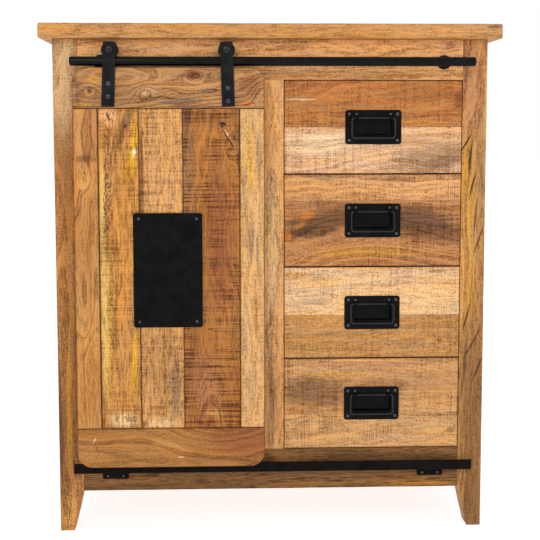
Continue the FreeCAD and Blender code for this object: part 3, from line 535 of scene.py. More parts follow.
# %% Top board
low, high = node_box("top_board")
top_wood = wood("top_wood", ("bf874a", "bf8c5b"), "x", (low, high), 3, (20, 170), (0.02, 0.01), 6, 0.35, 0.6,
                0.35, 0.1, rough=0.8, marks=[
    stain(387, 895, 16, 2.1, DARK, 0.7), stain(274, 885, 105, 7, PEACH, 0.3),
])
top = board("top_board_oiled", "carcass", top_wood, low, high, "x", 3.2 * MM, 0.2 * MM, 3)
stands_for(top, "top_board")
print("top board", rounded(high - low), "m")

# %% [markdown]
# ## Posts, rails and stile
# The four posts are square and taper on their inner sides below the bottom rail. A post is a board whose
# inner side moves outwards in a straight line on its last stretch to the floor.

# %% Posts
post_low, post_high = node_box("front_left_post")
POST = post_high[0] - post_low[0]
HALF_CASE = -post_low[0]
TAPER_START = node_box("front_bottom_rail")[0][2]
FOOT = 25 * MM


def post(name, side, y, material, seed):
    """One post; side is -1 on the left and 1 on the right."""
    def section(z):
        width = FOOT + (POST - FOOT) * min(max(z / TAPER_START, 0), 1)
        return sorted((side * HALF_CASE, side * (HALF_CASE - width)))

    left = min(side * HALF_CASE, side * (HALF_CASE - POST))
    low, high = (left, y, 0), (left + POST, y + POST, post_high[2])
    piece = board(name, "carcass", material, low, high, "z", seed=seed, section=section)
    return piece


left_wood = wood("left_post_wood", ("be844b", "a6713d"), "z", node_box("front_left_post"), 11, (-30, 40),
                 (0.02, 0.01), 4, 0.7, 0.5, 0.5, 0.15, rough=0.8, marks=[
    stain(-359, 800, 30, 110, CREAM, 0.55), stain(-362, 507, 17, 105, AMBER, 0.4),
    speckle(-364, 419, 5, 227, UMBER, 0.6, -1), stain(-367, 150, 21, 120, UMBER, 0.55),
    stain(-377, 205, 4, 120, WALNUT, 0.6), stain(-361, 205, 5, 120, GOLD, 0.55),
    stain(-366, 30, 20, 50, HONEY, 0.6), speckle(-368, 50, 8, 60, DARK, 0.5), nail(-350, 861),
])
right_wood = wood("right_post_wood", ("bf8b50", "ae7d49"), "z", node_box("front_right_post"), 12, (34, 45),
                  (0.03, 0.02), 5, 0.8, 0.5, 0.4, 0.15, rough=0.8, marks=[
    stain(353, 787, 23, 105, ROSE, 0.5), stain(344, 640, 6, 70, GOLD, 0.8, -4),
    stain(352, 560, 6, 60, GOLD, 0.6, -8), crack(345, 695, 1.6, 18, DARK, 1.0, -30),
    crack(352, 665, 2.2, 30, DARK, 0.9, -4), crack(357, 620, 2.0, 26, DARK, 0.9, -14),
    crack(363, 565, 1.8, 34, WALNUT, 1.0, -4), crack(370, 525, 1.8, 32, WALNUT, 1.0, -18),
    stain(371, 640, 9, 120, GREY, 0.55), stain(344, 500, 12, 150, HONEY, 0.5),
    crack(350, 385, 2.0, 34, DARK, 0.9, -14), crack(360, 335, 2.2, 32, DARK, 0.9, -28),
    crack(371, 290, 2.0, 30, WALNUT, 1.0, -22), stain(364, 215, 28, 210, WALNUT, 0.6),
    stain(368, 30, 24, 80, WALNUT, 0.6), stain(355, 450, 7, 70, GOLD, 0.4),
])
rear_wood = wood("rear_post_wood", ("bd8a55", "ac7c4c"), "z", node_box("rear_posts"), 13, (300, 40),
                 (0.02, 0.01), 6)
rear_y = node_box("rear_posts")[0][1]
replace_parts(post("front_left_post_oiled", -1, CASE_FRONT, left_wood, 1), "front_left_post")
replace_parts(post("front_right_post_oiled", 1, CASE_FRONT, right_wood, 2), "front_right_post")
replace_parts(post("rear_left_post_oiled", -1, rear_y, rear_wood, 4), "rear_posts")
post("rear_right_post_oiled", 1, rear_y, rear_wood, 5)
print("posts", rounded(post_high - post_low), "m, feet", FOOT, "m wide")

# %% Front rails and centre stile
top_rail = wood("top_rail_wood", ("e4ac75", "dc9e64"), "x", node_box("front_top_rail"), 21, (20, 40),
                (0.03, 0.01), 5, 0.5, 0.6, 0.4, 0.1, rough=0.9, marks=[
    stain(-211, 838, 105, 9, TAN, 0.35), stain(36, 864, 35, 10, UMBER, 0.35),
    # painted shade: a dark band across the whole rail just below the rod
    stain(0, 810, 420, 12, UMBER, 0.5),
])
bottom_rail = wood("bottom_rail_wood", ("845b32", "6c4a29"), "x", node_box("front_bottom_rail"), 22, (20, 30),
                   (0.04, 0.02), 4, 0.9, 1.0, 0.8, 0.0, marks=[
    stain(196, 130, 192, 10, WALNUT, 0.4), crack(114, 85, 21, 1.2, DARK, 0.6),
    crack(205, 95, 17, 1.0, DARK, 0.6), stain(269, 81, 87, 5, GOLD, 0.35), nail(-309, 102),
])
stile = wood("centre_stile_wood", ("dca56c", "d3985c"), "z", node_box("centre_stile"), 23, (-12, 40),
             (0.02, 0.01), 5, 0.5, 0.6, 0.4, 0.2, rough=0.8, marks=[
    stain(4, 235, 16, 105, UMBER, 0.4), stain(4, 523, 5, 140, CREAM, 0.3),
    stain(-3, 500, 24, 160, CREAM, 0.35), nail(0, 724), nail(7, 722),
])
for node, material, grain in (
    ("front_top_rail", top_rail, "x"), ("front_bottom_rail", bottom_rail, "x"), ("centre_stile", stile, "z"),
):
    piece = board(f"{node}_oiled", "carcass", material, *node_box(node), grain, 0.9 * MM, seed=len(node))
    stands_for(piece, node)
    print(node, rounded(2 * node_middle(node)[1]), "m")

# %% [markdown]
# ## Sides and back
# Each side is a frame of posts and rails round three upright boards. These sides weren't in view, so they
# follow the front: the same wood, with boards that differ a little.

# %% Side boards and rails
side_low, side_high = node_box("side_panels")
BOARD_THICKNESS = 14 * MM
pitch = (side_high[1] - side_low[1]) / 3
side_tones = (("c48f58", "b07d4b"), ("cf9f68", "c08c55"), ("b27f4e", "a2703f"))
for number, tones in enumerate(side_tones):
    y = side_low[1] + number * pitch
    extent = (side_low[0], y, side_low[2]), (side_high[0], y + pitch, side_high[2])
    name = f"side_board_{number + 1}"
    material = wood(f"{name}_wood", tones, "z", extent, 31 + number, (380, 30 - 20 * number), ring=6)
    for side, x in (("left", side_low[0]), ("right", side_high[0] - BOARD_THICKNESS)):
        low, high = (x, y, side_low[2]), (x + BOARD_THICKNESS, y + pitch, side_high[2])
        piece = board(f"{side}_{name}_oiled", "carcass", material, low, high, "z", 1.0 * MM, seed=number)
        if (side, number) == ("left", 0):
            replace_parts(piece, "side_panels")
print("side boards are", rounded([pitch]), "m wide")

rails_low, rails_high = node_box("carcass_rails")
RAIL_THICKNESS = 22 * MM
INNER = HALF_CASE - POST
side_rail = wood("side_rail_wood", ("bf8a54", "b07c49"), "y", (rails_low, rails_high), 35, (370, 30), ring=6)
back_rail = wood("back_rail_wood", ("bd8851", "ab7846"), "x", (rails_low, rails_high), 36, (420, 190), ring=6)
for level in ("top", "bottom"):
    (_, _, foot), (_, _, head) = node_box(f"front_{level}_rail")
    for side, x in (("left", rails_low[0]), ("right", rails_high[0] - RAIL_THICKNESS)):
        low, high = (x, CASE_FRONT + POST, foot), (x + RAIL_THICKNESS, rear_y, head)
        piece = board(f"{side}_{level}_rail_oiled", "carcass", side_rail, low, high, "y", 0.9 * MM, seed=7)
    low, high = (-INNER, rails_high[1] - RAIL_THICKNESS, foot), (INNER, rails_high[1], head)
    piece = board(f"back_{level}_rail_oiled", "carcass", back_rail, low, high, "x", 0.9 * MM, seed=8)
    if level == "top":
        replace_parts(piece, "carcass_rails")


# %% Inside boards
def finish_node(node, material):
    """A CAD node that keeps its shape gets a finish."""
    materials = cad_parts[node].data.materials
    materials.clear()
    materials.append(material)


inside = "back_panel", "centre_partition", "bottom_board", "cupboard_shelf", "shelf_cleats", "drawer_runners"
for number, node in enumerate(inside):
    grain = "z" if node == "centre_partition" else "x"
    tones = ("caa06c", "bd9160") if number % 2 else ("c39a68", "b88a57")
    material = wood(f"{node}_wood", tones, grain, node_box(node), 40 + number, ring=7, figure=0.4, saw=0.2)
    finish_node(node, material)
print("finished in place:", *inside)

# %% [markdown]
# ## The sliding door
# Two rails with rounded outer corners, two stiles and three planks that lie a little lower. Each board has
# its own colours and marks. The joints between them are dark: painted shade of the grooves, with dark wax
# there too.

# %% Door rails
DOOR_CORNER, DOOR_EDGE = 26 * MM, 1.6 * MM


def door_rail(node, material, outer):
    """A rail's outline, with two large and two small corner radii, rounded over at both faces. outer is 1
    where the large ones are at the top and -1 where they are at the bottom."""
    middle, half = node_middle(node)

    def outline(inset):
        """At the corner (sx, sz): centre + r (cos a, sin a), with r large only on the outer side."""
        flat = []
        for number, (sx, sz) in enumerate(((1, 1), (-1, 1), (-1, -1), (1, -1))):
            radius = DOOR_CORNER - inset if sz == outer else max(DOOR_EDGE - inset, TINY)
            angle = np.linspace(0, QUARTER_TURN, 9) + number * QUARTER_TURN
            centre = np.array([sx * (half[0] - inset - radius), sz * (half[2] - inset - radius)])
            flat.append(centre + radius * rays(angle))
        return np.concatenate(flat)

    layers = through(-half[1], half[1], DOOR_EDGE)
    rings = [in_space("y", middle, outline(inset), along) for along, inset in layers]
    piece = add_piece(f"{node}_oiled", "door", material, *skin(rings))
    stands_for(piece, node)


upper_rail = wood("door_top_rail_wood", ("b58557", "a6784d"), "x", node_box("door_top_rail"), 41, (30, 30),
                  (0.06, 0.03), 2.8, 1.0, 0.4, 0.4, 0.0, rough=0.8, rim=0.5, marks=[
    stain(-309, 802, 14, 7, GOLD, 0.6), stain(-290, 815, 30, 9, ORANGE, 0.35, -25),
    eye(-313, 785, 24, 17, 12), spot(-313, 786, 5, 5, PLUM, 0.8), stain(-334, 777, 5, 21, SLATE, 0.6),
    stain(-326, 760, 20, 5, GOLD, 0.5), eye(-222, 784, 30, 20, 13, 20), eye(-190, 782, 60, 22, 8, 8),
    stain(-212, 784, 22, 8, CREAM, 0.3, 10), stain(-128, 811, 23, 9, RUST, 0.45),
    stain(-138, 811, 13, 8, RUST, 0.75, 15), eye(-133, 812, 34, 20, 12, 10),
    stain(-158, 766, 42, 4, SLATE, 0.8, 5), stain(-140, 757, 50, 3, PLUM, 0.6, 2),
    crack(-150, 761, 30, 1.2, DARK, 0.6, 3), crack(-176, 771, 18, 1.0, DARK, 0.5, 8),
    stain(-112, 784, 14, 4, SLATE, 0.7, 8), spot(-98, 785, 4, 3, RUST, 0.9),
    stain(-38, 792, 19, 24, REDWOOD, 0.65), stain(-60, 770, 14, 12, UMBER, 0.5, -30),
    eye(-11, 782, 42, 45, 22), stain(-42, 763, 12, 4, ORANGE, 0.8), crack(-45, 760, 7, 1.0, RUST, 0.8, 10),
    crack(-32, 762, 4, 1.0, RUST, 0.8, -20), stain(-262, 790, 20, 14, UMBER, 0.35, 30),
    stain(-330, 800, 16, 12, UMBER, 0.45),
])
lower_rail = wood("door_bottom_rail_wood", ("a5713a", "9d6733"), "x", node_box("door_bottom_rail"), 42,
                  (-20, 50), (0.02, 0.02), 6, 0.75, 0.3, 0.4, 0.0, rim=0.4, marks=[
    eye(-89, 230, 166, 108, 85, 8), stain(-50, 176, 80, 32, REDWOOD, 0.75, -8),
    stain(-181, 164, 35, 12, HONEY, 0.35, -15), stain(-130, 138, 60, 8, UMBER, 0.4),
    stain(-322, 148, 17, 10, TAN, 0.4), crack(-314, 173, 0.9, 6, PALE, 0.7, -30),
    crack(-310, 160, 0.9, 7, DARK, 0.6, 20), crack(-162, 142, 6, 0.9, PALE, 0.7),
])
door_rail("door_top_rail", upper_rail, 1)
door_rail("door_bottom_rail", lower_rail, -1)
print("door rails are", rounded(2 * node_middle("door_top_rail")[1]), "m")

# %% Door stiles and planks
door_low, door_high = node_box("door_top_rail")
PLANK_FOOT, PLANK_HEAD = node_box("door_bottom_rail")[1][2], door_low[2]
STILE, FIRST_PLANK, SECOND_PLANK = 43 * MM, 70 * MM, 75.5 * MM
STILE_THICKNESS, PLANK_THICKNESS = 20 * MM, 17 * MM
STILE_EDGE, PLANK_EDGE = 1.4 * MM, 1.0 * MM
first_edge = door_low[0] + STILE
second_edge = first_edge + FIRST_PLANK
third_edge = second_edge + SECOND_PLANK
last_edge = door_high[0] - STILE


def door_board(name, start, end, seed, tones, node=None, **look):
    """An upright board of the door, from start to end across it, in the middle of the door's thickness."""
    is_stile = name.endswith("stile")
    thickness, edge = (STILE_THICKNESS, STILE_EDGE) if is_stile else (PLANK_THICKNESS, PLANK_EDGE)
    middle_y = (door_low[1] + door_high[1]) / 2
    low = (start, middle_y - thickness / 2, PLANK_FOOT)
    high = (end, middle_y + thickness / 2, PLANK_HEAD)
    material = wood(f"{name}_wood", tones, "z", (low, high), seed, **look)
    piece = board(f"{name}_oiled", "door", material, low, high, "z", edge, seed=seed)
    if node:
        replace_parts(piece, node)


door_board("door_left_stile", door_low[0], first_edge, 51, ("c18a4f", "b17941"), "door_stiles", pith=(10, 28),
           slant=(0.03, 0.05), figure=0.8, streak=0.5, pore=0.3, saw=0.0, rim=0.75, marks=[
    stain(-317, 717, 21, 35, ROSE, 0.35), stain(-324, 666, 17, 12, UMBER, 0.45), eye(-324, 636, 16, 34, 12),
    stain(-324, 630, 11, 18, HONEY, 0.85), stain(-322, 668, 20, 6, WALNUT, 0.5),
    spot(-324, 644, 1.4, 2.3, DARK, 0.8), stain(-339, 614, 2.8, 105, ORANGE, 0.7),
    stain(-327, 282, 23, 87, AMBER, 0.5), eye(-325, 423, 21, 105, 14),
    stain(-326, 500, 26, 110, UMBER, 0.3),
])
door_board("door_plank_1", first_edge, second_edge, 53, ("c38949", "b87e44"), "door_planks", pith=(-20, 60),
           slant=(0.02, 0.02), ring=6, figure=0.35, streak=0.8, saw=0.7, rim=0.75, marks=[
    stain(-260, 588, 12, 66, AMBER, 0.45), stain(-282, 739, 16, 18, PEACH, 0.85),
    speckle(-284, 725, 9, 22, REDWOOD, 0.6, 10), speckle(-243, 736, 7, 18, YELLOW, 0.7),
    crack(-283, 741, 1.5, 8, DARK, 0.9, 20), crack(-277, 735, 1.3, 5, REDWOOD, 0.9, 60),
    crack(-286, 722, 1.3, 8, REDWOOD, 0.9, 10), crack(-279, 716, 1.3, 6, REDWOOD, 0.9, -30),
    crack(-287, 705, 1.4, 9, UMBER, 0.9, 35), crack(-281, 694, 1.3, 6, UMBER, 0.8, -10),
    crack(-274, 746, 1.0, 5, DARK, 0.8, 35), crack(-289, 731, 0.9, 4, DARK, 0.6, -20),
    stain(-260, 714, 9, 42, UMBER, 0.75, -22), stain(-250, 735, 8, 18, GREY, 0.6, -10),
    spot(-253, 724, 2.1, 5, DARK, 0.8, -15), spot(-260, 697, 1.6, 2.8, DARK, 0.7),
    stain(-241, 683, 7, 50, YELLOW, 0.95, -8), stain(-239, 679, 4, 9, PALE, 0.75),
    stain(-240, 655, 6, 14, YELLOW, 0.9), stain(-248, 650, 10, 20, GOLD, 0.8),
    stain(-240, 560, 5, 60, GOLD, 0.5), stain(-294, 588, 5, 96, LEMON, 0.7),
    speckle(-286, 600, 7, 110, DARK, 0.85, -2), stain(-292, 390, 11, 150, LEMON, 0.7),
    crack(-284, 400, 1.6, 90, GOLD, 0.9, 1), crack(-282, 300, 1.6, 60, GOLD, 0.9, -2),
    speckle(-281, 379, 4, 150, OLIVE, 0.9), stain(-244, 489, 2.8, 21, YELLOW, 0.7),
    stain(-242, 313, 5, 63, YELLOW, 0.85, -1), stain(-262, 209, 26, 14, CREAM, 0.75),
    speckle(-253, 213, 12, 6, OLIVE, 0.7), stain(-237, 422, 3, 105, OLIVE, 0.5),
])
door_board("door_plank_2", second_edge, third_edge, 54, ("cf9960", "c69258"), pith=(40, 90),
           slant=(0.02, 0.01), ring=7, figure=0.25, streak=0.7, saw=0.7, rough=0.8, rim=0.55, marks=[
    stain(-189, 605, 21, 44, PEACH, 0.3), stain(-201, 284, 42, 90, TAN, 0.65),
    stain(-226, 640, 4, 120, UMBER, 0.85), stain(-183, 342, 7, 35, UMBER, 0.3),
    stain(-170, 260, 10, 60, SLATE, 0.65), speckle(-190, 300, 30, 60, WALNUT, 0.3),
    spot(-175, 282, 5, 2.1, DARK, 0.6), stain(-202, 230, 16, 5, RUST, 0.35),
    stain(-195, 203, 28, 10, CREAM, 0.5), stain(-225, 202, 7, 7, PLUM, 0.6),
])
door_board("door_plank_3", third_edge, last_edge, 55, ("a96f37", "9d6430"), pith=(0, 70), slant=(0.02, 0.05),
           ring=6, figure=0.7, streak=0.5, pore=0.3, saw=1.5, saw_pitch=3.1, rim=0.55, marks=[
    stain(-88, 535, 26, 131, REDWOOD, 0.65), stain(-98, 735, 40, 14, UMBER, 0.4),
    stain(-106, 421, 38, 21, REDWOOD, 0.35), stain(-102, 488, 38, 7, UMBER, 0.4),
    stain(-119, 271, 28, 61, ROSE, 0.35), speckle(-146, 657, 9, 110, SLATE, 0.9),
    stain(-149, 690, 4, 60, SLATE, 0.5), stain(-73, 748, 14, 9, UMBER, 0.5), eye(-72, 686, 24, 38, 20),
    spot(-86, 727, 7, 4.5, WALNUT, 0.9, -10), crack(-85, 728, 6, 1.6, BLACK, 0.95, -12),
    crack(-87, 723, 3, 1.4, BLACK, 0.9, 20), crack(-80, 716, 1.4, 9, DARK, 0.95, 35),
    crack(-62, 712, 1.2, 14, UMBER, 0.8, -35), stain(-77, 707, 3.0, 14, PEACH, 0.9, 27),
    crack(-80, 708, 1.5, 13, BLACK, 0.9, 27), crack(-71, 694, 1.6, 8, BLACK, 0.95, 27),
    spot(-62, 703, 6, 7, UMBER, 0.8), crack(-66, 704, 1.2, 7, DARK, 0.8), spot(-72, 684, 6, 4, RUST, 0.85),
    eye(-109, 163, 47, 192, 60), stain(-128, 204, 10, 5, RUST, 0.8, -25),
    spot(-112, 199, 1.7, 1.7, DARK, 0.8), stain(-102, 219, 16, 10, HONEY, 0.5),
    spot(-108, 370, 6, 2.1, DARK, 0.6),
])
door_board("door_right_stile", last_edge, door_high[0], 52, ("d3a36f", "ca9c67"), pith=(-20, 60),
           slant=(0.02, 0.02), figure=0.4, streak=0.5, pore=0.3, saw=0.3, rough=0.8, rim=0.75, marks=[
    stain(-51, 683, 3, 61, LEMON, 0.5), stain(-37, 657, 3, 80, YELLOW, 0.7),
    stain(-23, 665, 5, 56, SLATE, 0.5), stain(-37, 521, 6, 33, SLATE, 0.65),
    stain(-26, 509, 3, 24, SLATE, 0.5), stain(-29, 400, 3, 52, AMBER, 0.6),
    stain(-37, 207, 21, 17, PEACH, 0.5),
])
print("joints across the door at", rounded((first_edge, second_edge, third_edge, last_edge)), "m")

# %% [markdown]
# ## Plate, screws and bolts
# A bare black plate sits on the planks, held by four screws. A screw is turned: a domed head with a small
# sunk recess in its middle. A screw with a real slot would need a boolean, and from a step away the dark
# dimple reads the same.

# %% Plate on the door
def screw_head(name, body, x, y, z, diameter, height, recess=0.38):
    """A head on the face at y: the dome is (r sin a, h cos a), with a conical recess in the middle."""
    radius = diameter / 2
    bowl = radius * recess
    profile = [(0.0, -height * 0.35), (bowl * 0.7, -height * 0.4), (bowl, -height * 0.98)]
    for angle in np.linspace(0, QUARTER_TURN, 6):
        out = bowl * 1.2 + (radius - bowl * 1.2) * math.sin(angle)
        profile.append((out, -height * (0.15 + 0.85 * math.cos(angle))))
    profile += [(radius, 0.0), (0.0, 0.0)]
    return turned(name, body, screw_black, "y", (x, y, z), profile, 20)


PLATE_CORNER, PLATE_SCREW_INSET = 4 * MM, 10 * MM
middle, half = node_middle("plaque")
outline = (half[0], half[2])
piece = plate("door_plate_black", "door", plate_black, "y", middle, outline, PLATE_CORNER, -half[1], half[1],
              0.6 * MM)
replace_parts(piece, "plaque")
for number, (sx, sz) in enumerate(((-1, -1), (-1, 1), (1, -1), (1, 1))):
    x = middle[0] + sx * (half[0] - PLATE_SCREW_INSET)
    z = middle[2] + sz * (half[2] - PLATE_SCREW_INSET)
    piece = screw_head(f"plate_screw_{number + 1}", "door", x, middle[1] - half[1], z, 5.4 * MM, 1.5 * MM)
    if number == 0:
        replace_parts(piece, "plaque_screws")
print("plate", rounded(2 * half), "m, its middle at", rounded(middle))

# %% [markdown]
# ## Rolling hangers
# On each side of the door a strap hangs from an axle bolt and is bolted to the door's top rail. Behind it
# runs a grooved wheel, and behind the wheel a short back plate. The wheels stand on the rod. A wheel is a
# closed profile turned round its axle, so that its groove and its bore are real and it can roll.

# %% Hangers
WHEEL_RADIUS, TREAD, GROOVE, BORE, HALF_WHEEL = 14.5 * MM, 10.5 * MM, 8.3 * MM, 4.05 * MM, 9 * MM
WHEEL_EDGE = 0.7 * MM
STRAP_HALF_WIDTH, STRAP_METAL, STRAP_EDGE = 11 * MM, 3 * MM, 0.5 * MM
STRAP_RISE, STRAP_DROP, BACK_DROP = 13.8 * MM, 96.5 * MM, 27.5 * MM
HALF_GAP = 10 * MM
HEX_FLATS, HEX_HEIGHT, NUT_HEIGHT, SHANK, SHANK_PAST_NUT = 12 * MM, 5 * MM, 4 * MM, 4 * MM, 2 * MM
BOLT_HEAD, BOLT_PITCH = 8.5 * MM, 22 * MM


def wheel_profile():
    """Once round the section: r = centre - G cos a, y = G sin a over the groove, then sides and bore."""
    centre = TREAD + GROOVE
    reach = math.acos((centre - WHEEL_RADIUS) / GROOVE)
    groove = [(centre - GROOVE * math.cos(a), GROOVE * math.sin(a)) for a in np.linspace(-reach, reach, 15)]
    right = [(WHEEL_RADIUS, HALF_WHEEL - WHEEL_EDGE), (WHEEL_RADIUS - WHEEL_EDGE, HALF_WHEEL)]
    right += [(BORE + WHEEL_EDGE, HALF_WHEEL), (BORE, HALF_WHEEL - WHEEL_EDGE)]
    return [(radius, -along) for radius, along in reversed(right)] + groove + right


def hexagon(apothem, cap):
    """Points round a hexagon whose corners are turned off: r = min(apothem / cos(a), cap)."""
    angle = all_round(48)
    off = angle % (math.pi / 3) - math.pi / 6
    return np.minimum(apothem / np.cos(off), cap)[:, None] * rays(angle)


def axle_bolt(name, centre):
    """Head, shank and nut in one: hexagons where it is hexagonal and circles between."""
    flat, corner = HEX_FLATS / 2, HEX_FLATS / math.sqrt(3)
    front, back = -HALF_GAP - STRAP_METAL, HALF_GAP + STRAP_METAL
    end = back + NUT_HEIGHT
    layers = [(front - HEX_HEIGHT, 0.55 * flat), (front - 0.93 * HEX_HEIGHT, 0.82 * flat)]
    layers += [(front - 0.80 * HEX_HEIGHT, 0.99 * flat), (front - 0.62 * HEX_HEIGHT, corner), (front, corner)]
    layers += [(front, SHANK), (back, SHANK), (back, corner), (end - 0.2 * NUT_HEIGHT, corner), (end, flat)]
    layers += [(end, SHANK), (end + SHANK_PAST_NUT, 0.9 * SHANK)]
    rings = [in_space("y", centre, hexagon(flat, cap), along) for along, cap in layers]
    return add_piece(name, "door", bail_black, *skin(rings))


def hanger_plate(name, centre, drop, corner, low, about=None):
    """A flat piece round the axle, from its top down to drop below the axle, its near face at low."""
    half = (STRAP_HALF_WIDTH, (STRAP_RISE + drop) / 2)
    middle = centre + (0, 0, (STRAP_RISE - drop) / 2)
    high = low + STRAP_METAL
    return plate(name, "door", strap_black, "y", middle, half, corner, low, high, STRAP_EDGE, about)


for side, tilt, first_bolt in (("left", 2.3, 57.5 * MM), ("right", -1.7, 65 * MM)):
    centre, _ = node_middle(f"{side}_wheel")
    angle = math.radians(tilt)
    front = -HALF_GAP - STRAP_METAL
    strap = hanger_plate(f"{side}_strap_black", centre, STRAP_DROP, 1.5 * MM, front, (centre, angle))
    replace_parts(strap, f"{side}_hanger_strap")
    hanger_plate(f"{side}_back_plate_black", centre, BACK_DROP, 2.6 * MM, HALF_GAP)
    wheel = f"{side}_wheel"
    piece = turned(f"{wheel}_black", wheel, strap_black, "y", centre, wheel_profile(), 56, "joined")
    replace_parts(piece, wheel)
    axle = axle_bolt(f"{side}_axle_bolt_black", centre)
    for number in range(2):
        drop = first_bolt + number * BOLT_PITCH
        x, y, z = centre + (-drop * math.sin(angle), front, -drop * math.cos(angle))
        head = screw_head(f"{side}_strap_bolt_{number + 1}", "door", x, y, z, BOLT_HEAD, 2.5 * MM)
        if (side, number) == ("left", 0):
            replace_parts(head, "hanger_bolts")
    if side == "left":
        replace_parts(axle, "wheel_axles")
    print(side, "wheel turns round", rounded(centre))

finish_node("door_guides", bar_black)

# %% [markdown]
# ## Rod, standoffs and guide bar
# The rod is a plain bar with softened ends. It stands off the case on two stems, each with a disc against
# the wood and an end that is hollowed to fit the rod.

# %% Rod
rod_middle, (half_length, _, ROD) = node_middle("rail_rod")
profile = [(ROD - inset, along) for along, inset in through(-half_length, half_length, 2.6 * MM, 6)]
profile = [(0.0, -half_length), *profile, (0.0, half_length)]
rod = turned("rail_rod_black", "carcass", rod_black, "x", rod_middle, profile, 48)
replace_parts(rod, "rail_rod")
print("rod", rounded((2 * half_length, 2 * ROD)), "m long and thick")

# %% Standoffs
STANDOFF_REACH = 300 * MM
DISC, DISC_THICKNESS, STEM, STEM_EDGE = 12.5 * MM, 3 * MM, 5 * MM, 0.5 * MM


def standoff(name, x):
    """Disc and stem; the stem's last rings follow the rod: y = y0 + sqrt(R^2 - dz^2)."""
    centre = (x, CASE_FRONT, rod_middle[2])
    circle = rays(all_round(40))
    profile = [(DISC - inset, rise - DISC_THICKNESS) for inset, rise in reversed(quarter(0.8 * MM))]
    profile.insert(0, (DISC, 0.0))
    profile += [(STEM + STEM_EDGE, -DISC_THICKNESS), (STEM, -DISC_THICKNESS - STEM_EDGE)]
    rings = [in_space("y", centre, circle * radius, along) for radius, along in profile]
    for radius in (STEM, 0.5 * STEM):
        seat = rod_middle[1] - CASE_FRONT + np.sqrt(ROD ** 2 - (circle[:, 1] * radius) ** 2)
        rings.append(in_space("y", centre, circle * radius, seat))
    return add_piece(name, "carcass", rod_black, *skin(rings))


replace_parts(standoff("left_standoff_black", rod_middle[0] - STANDOFF_REACH), "rail_standoffs")
standoff("right_standoff_black", rod_middle[0] + STANDOFF_REACH)
print("standoffs are", rounded([2 * STANDOFF_REACH]), "m apart")

# %% Guide bar and its brackets
BRACKET_REACH, BRACKET_HALF, BRACKET_METAL, LEDGE_RISE = 283 * MM, 23 * MM, 3 * MM, 15 * MM
BRACKET_SCREW_REACH, BRACKET_SCREW_RISE = 13.5 * MM, 5.5 * MM
low, high = node_box("guide_bar")
bar = board("guide_bar_black", "carcass", bar_black, low, high, "x", 0.6 * MM, 0.0)
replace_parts(bar, "guide_bar")
foot_low, foot_high = node_box("guide_brackets")
face = CASE_FRONT - BRACKET_METAL
for side, sign in (("left", -1), ("right", 1)):
    x = (low[0] + high[0]) / 2 + sign * BRACKET_REACH
    half = (BRACKET_HALF, (foot_high[2] - foot_low[2]) / 2)
    centre = (x, CASE_FRONT, (foot_low[2] + foot_high[2]) / 2)
    foot = plate(f"{side}_bracket_foot_black", "carcass", bar_black, "y", centre, half, 3 * MM,
                 -BRACKET_METAL, 0.0, 0.5 * MM)
    half = (BRACKET_HALF, (face - high[1]) / 2)
    centre = (x, (face + high[1]) / 2, foot_low[2] + LEDGE_RISE)
    plate(f"{side}_bracket_ledge_black", "carcass", bar_black, "z", centre, half, 0.5 * MM,
          0.0, BRACKET_METAL, 0.4 * MM)
    if side == "left":
        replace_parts(foot, "guide_brackets")
    for number, reach in enumerate((-BRACKET_SCREW_REACH, BRACKET_SCREW_REACH)):
        screw_head(f"{side}_bracket_screw_{number + 1}", "carcass", x + reach, face,
                   foot_low[2] + BRACKET_SCREW_RISE, 5 * MM, 1.4 * MM)
print("guide bar", rounded(high - low), "m")

# %% [markdown]
# ## Drawers
# Each front is glued up from two boards and hollowed for the finger pan. Its surface goes from the floor of
# the hollow out to the face, over the edge and back. A boolean could cut the hollow as well, but it would
# leave long thin faces round it.

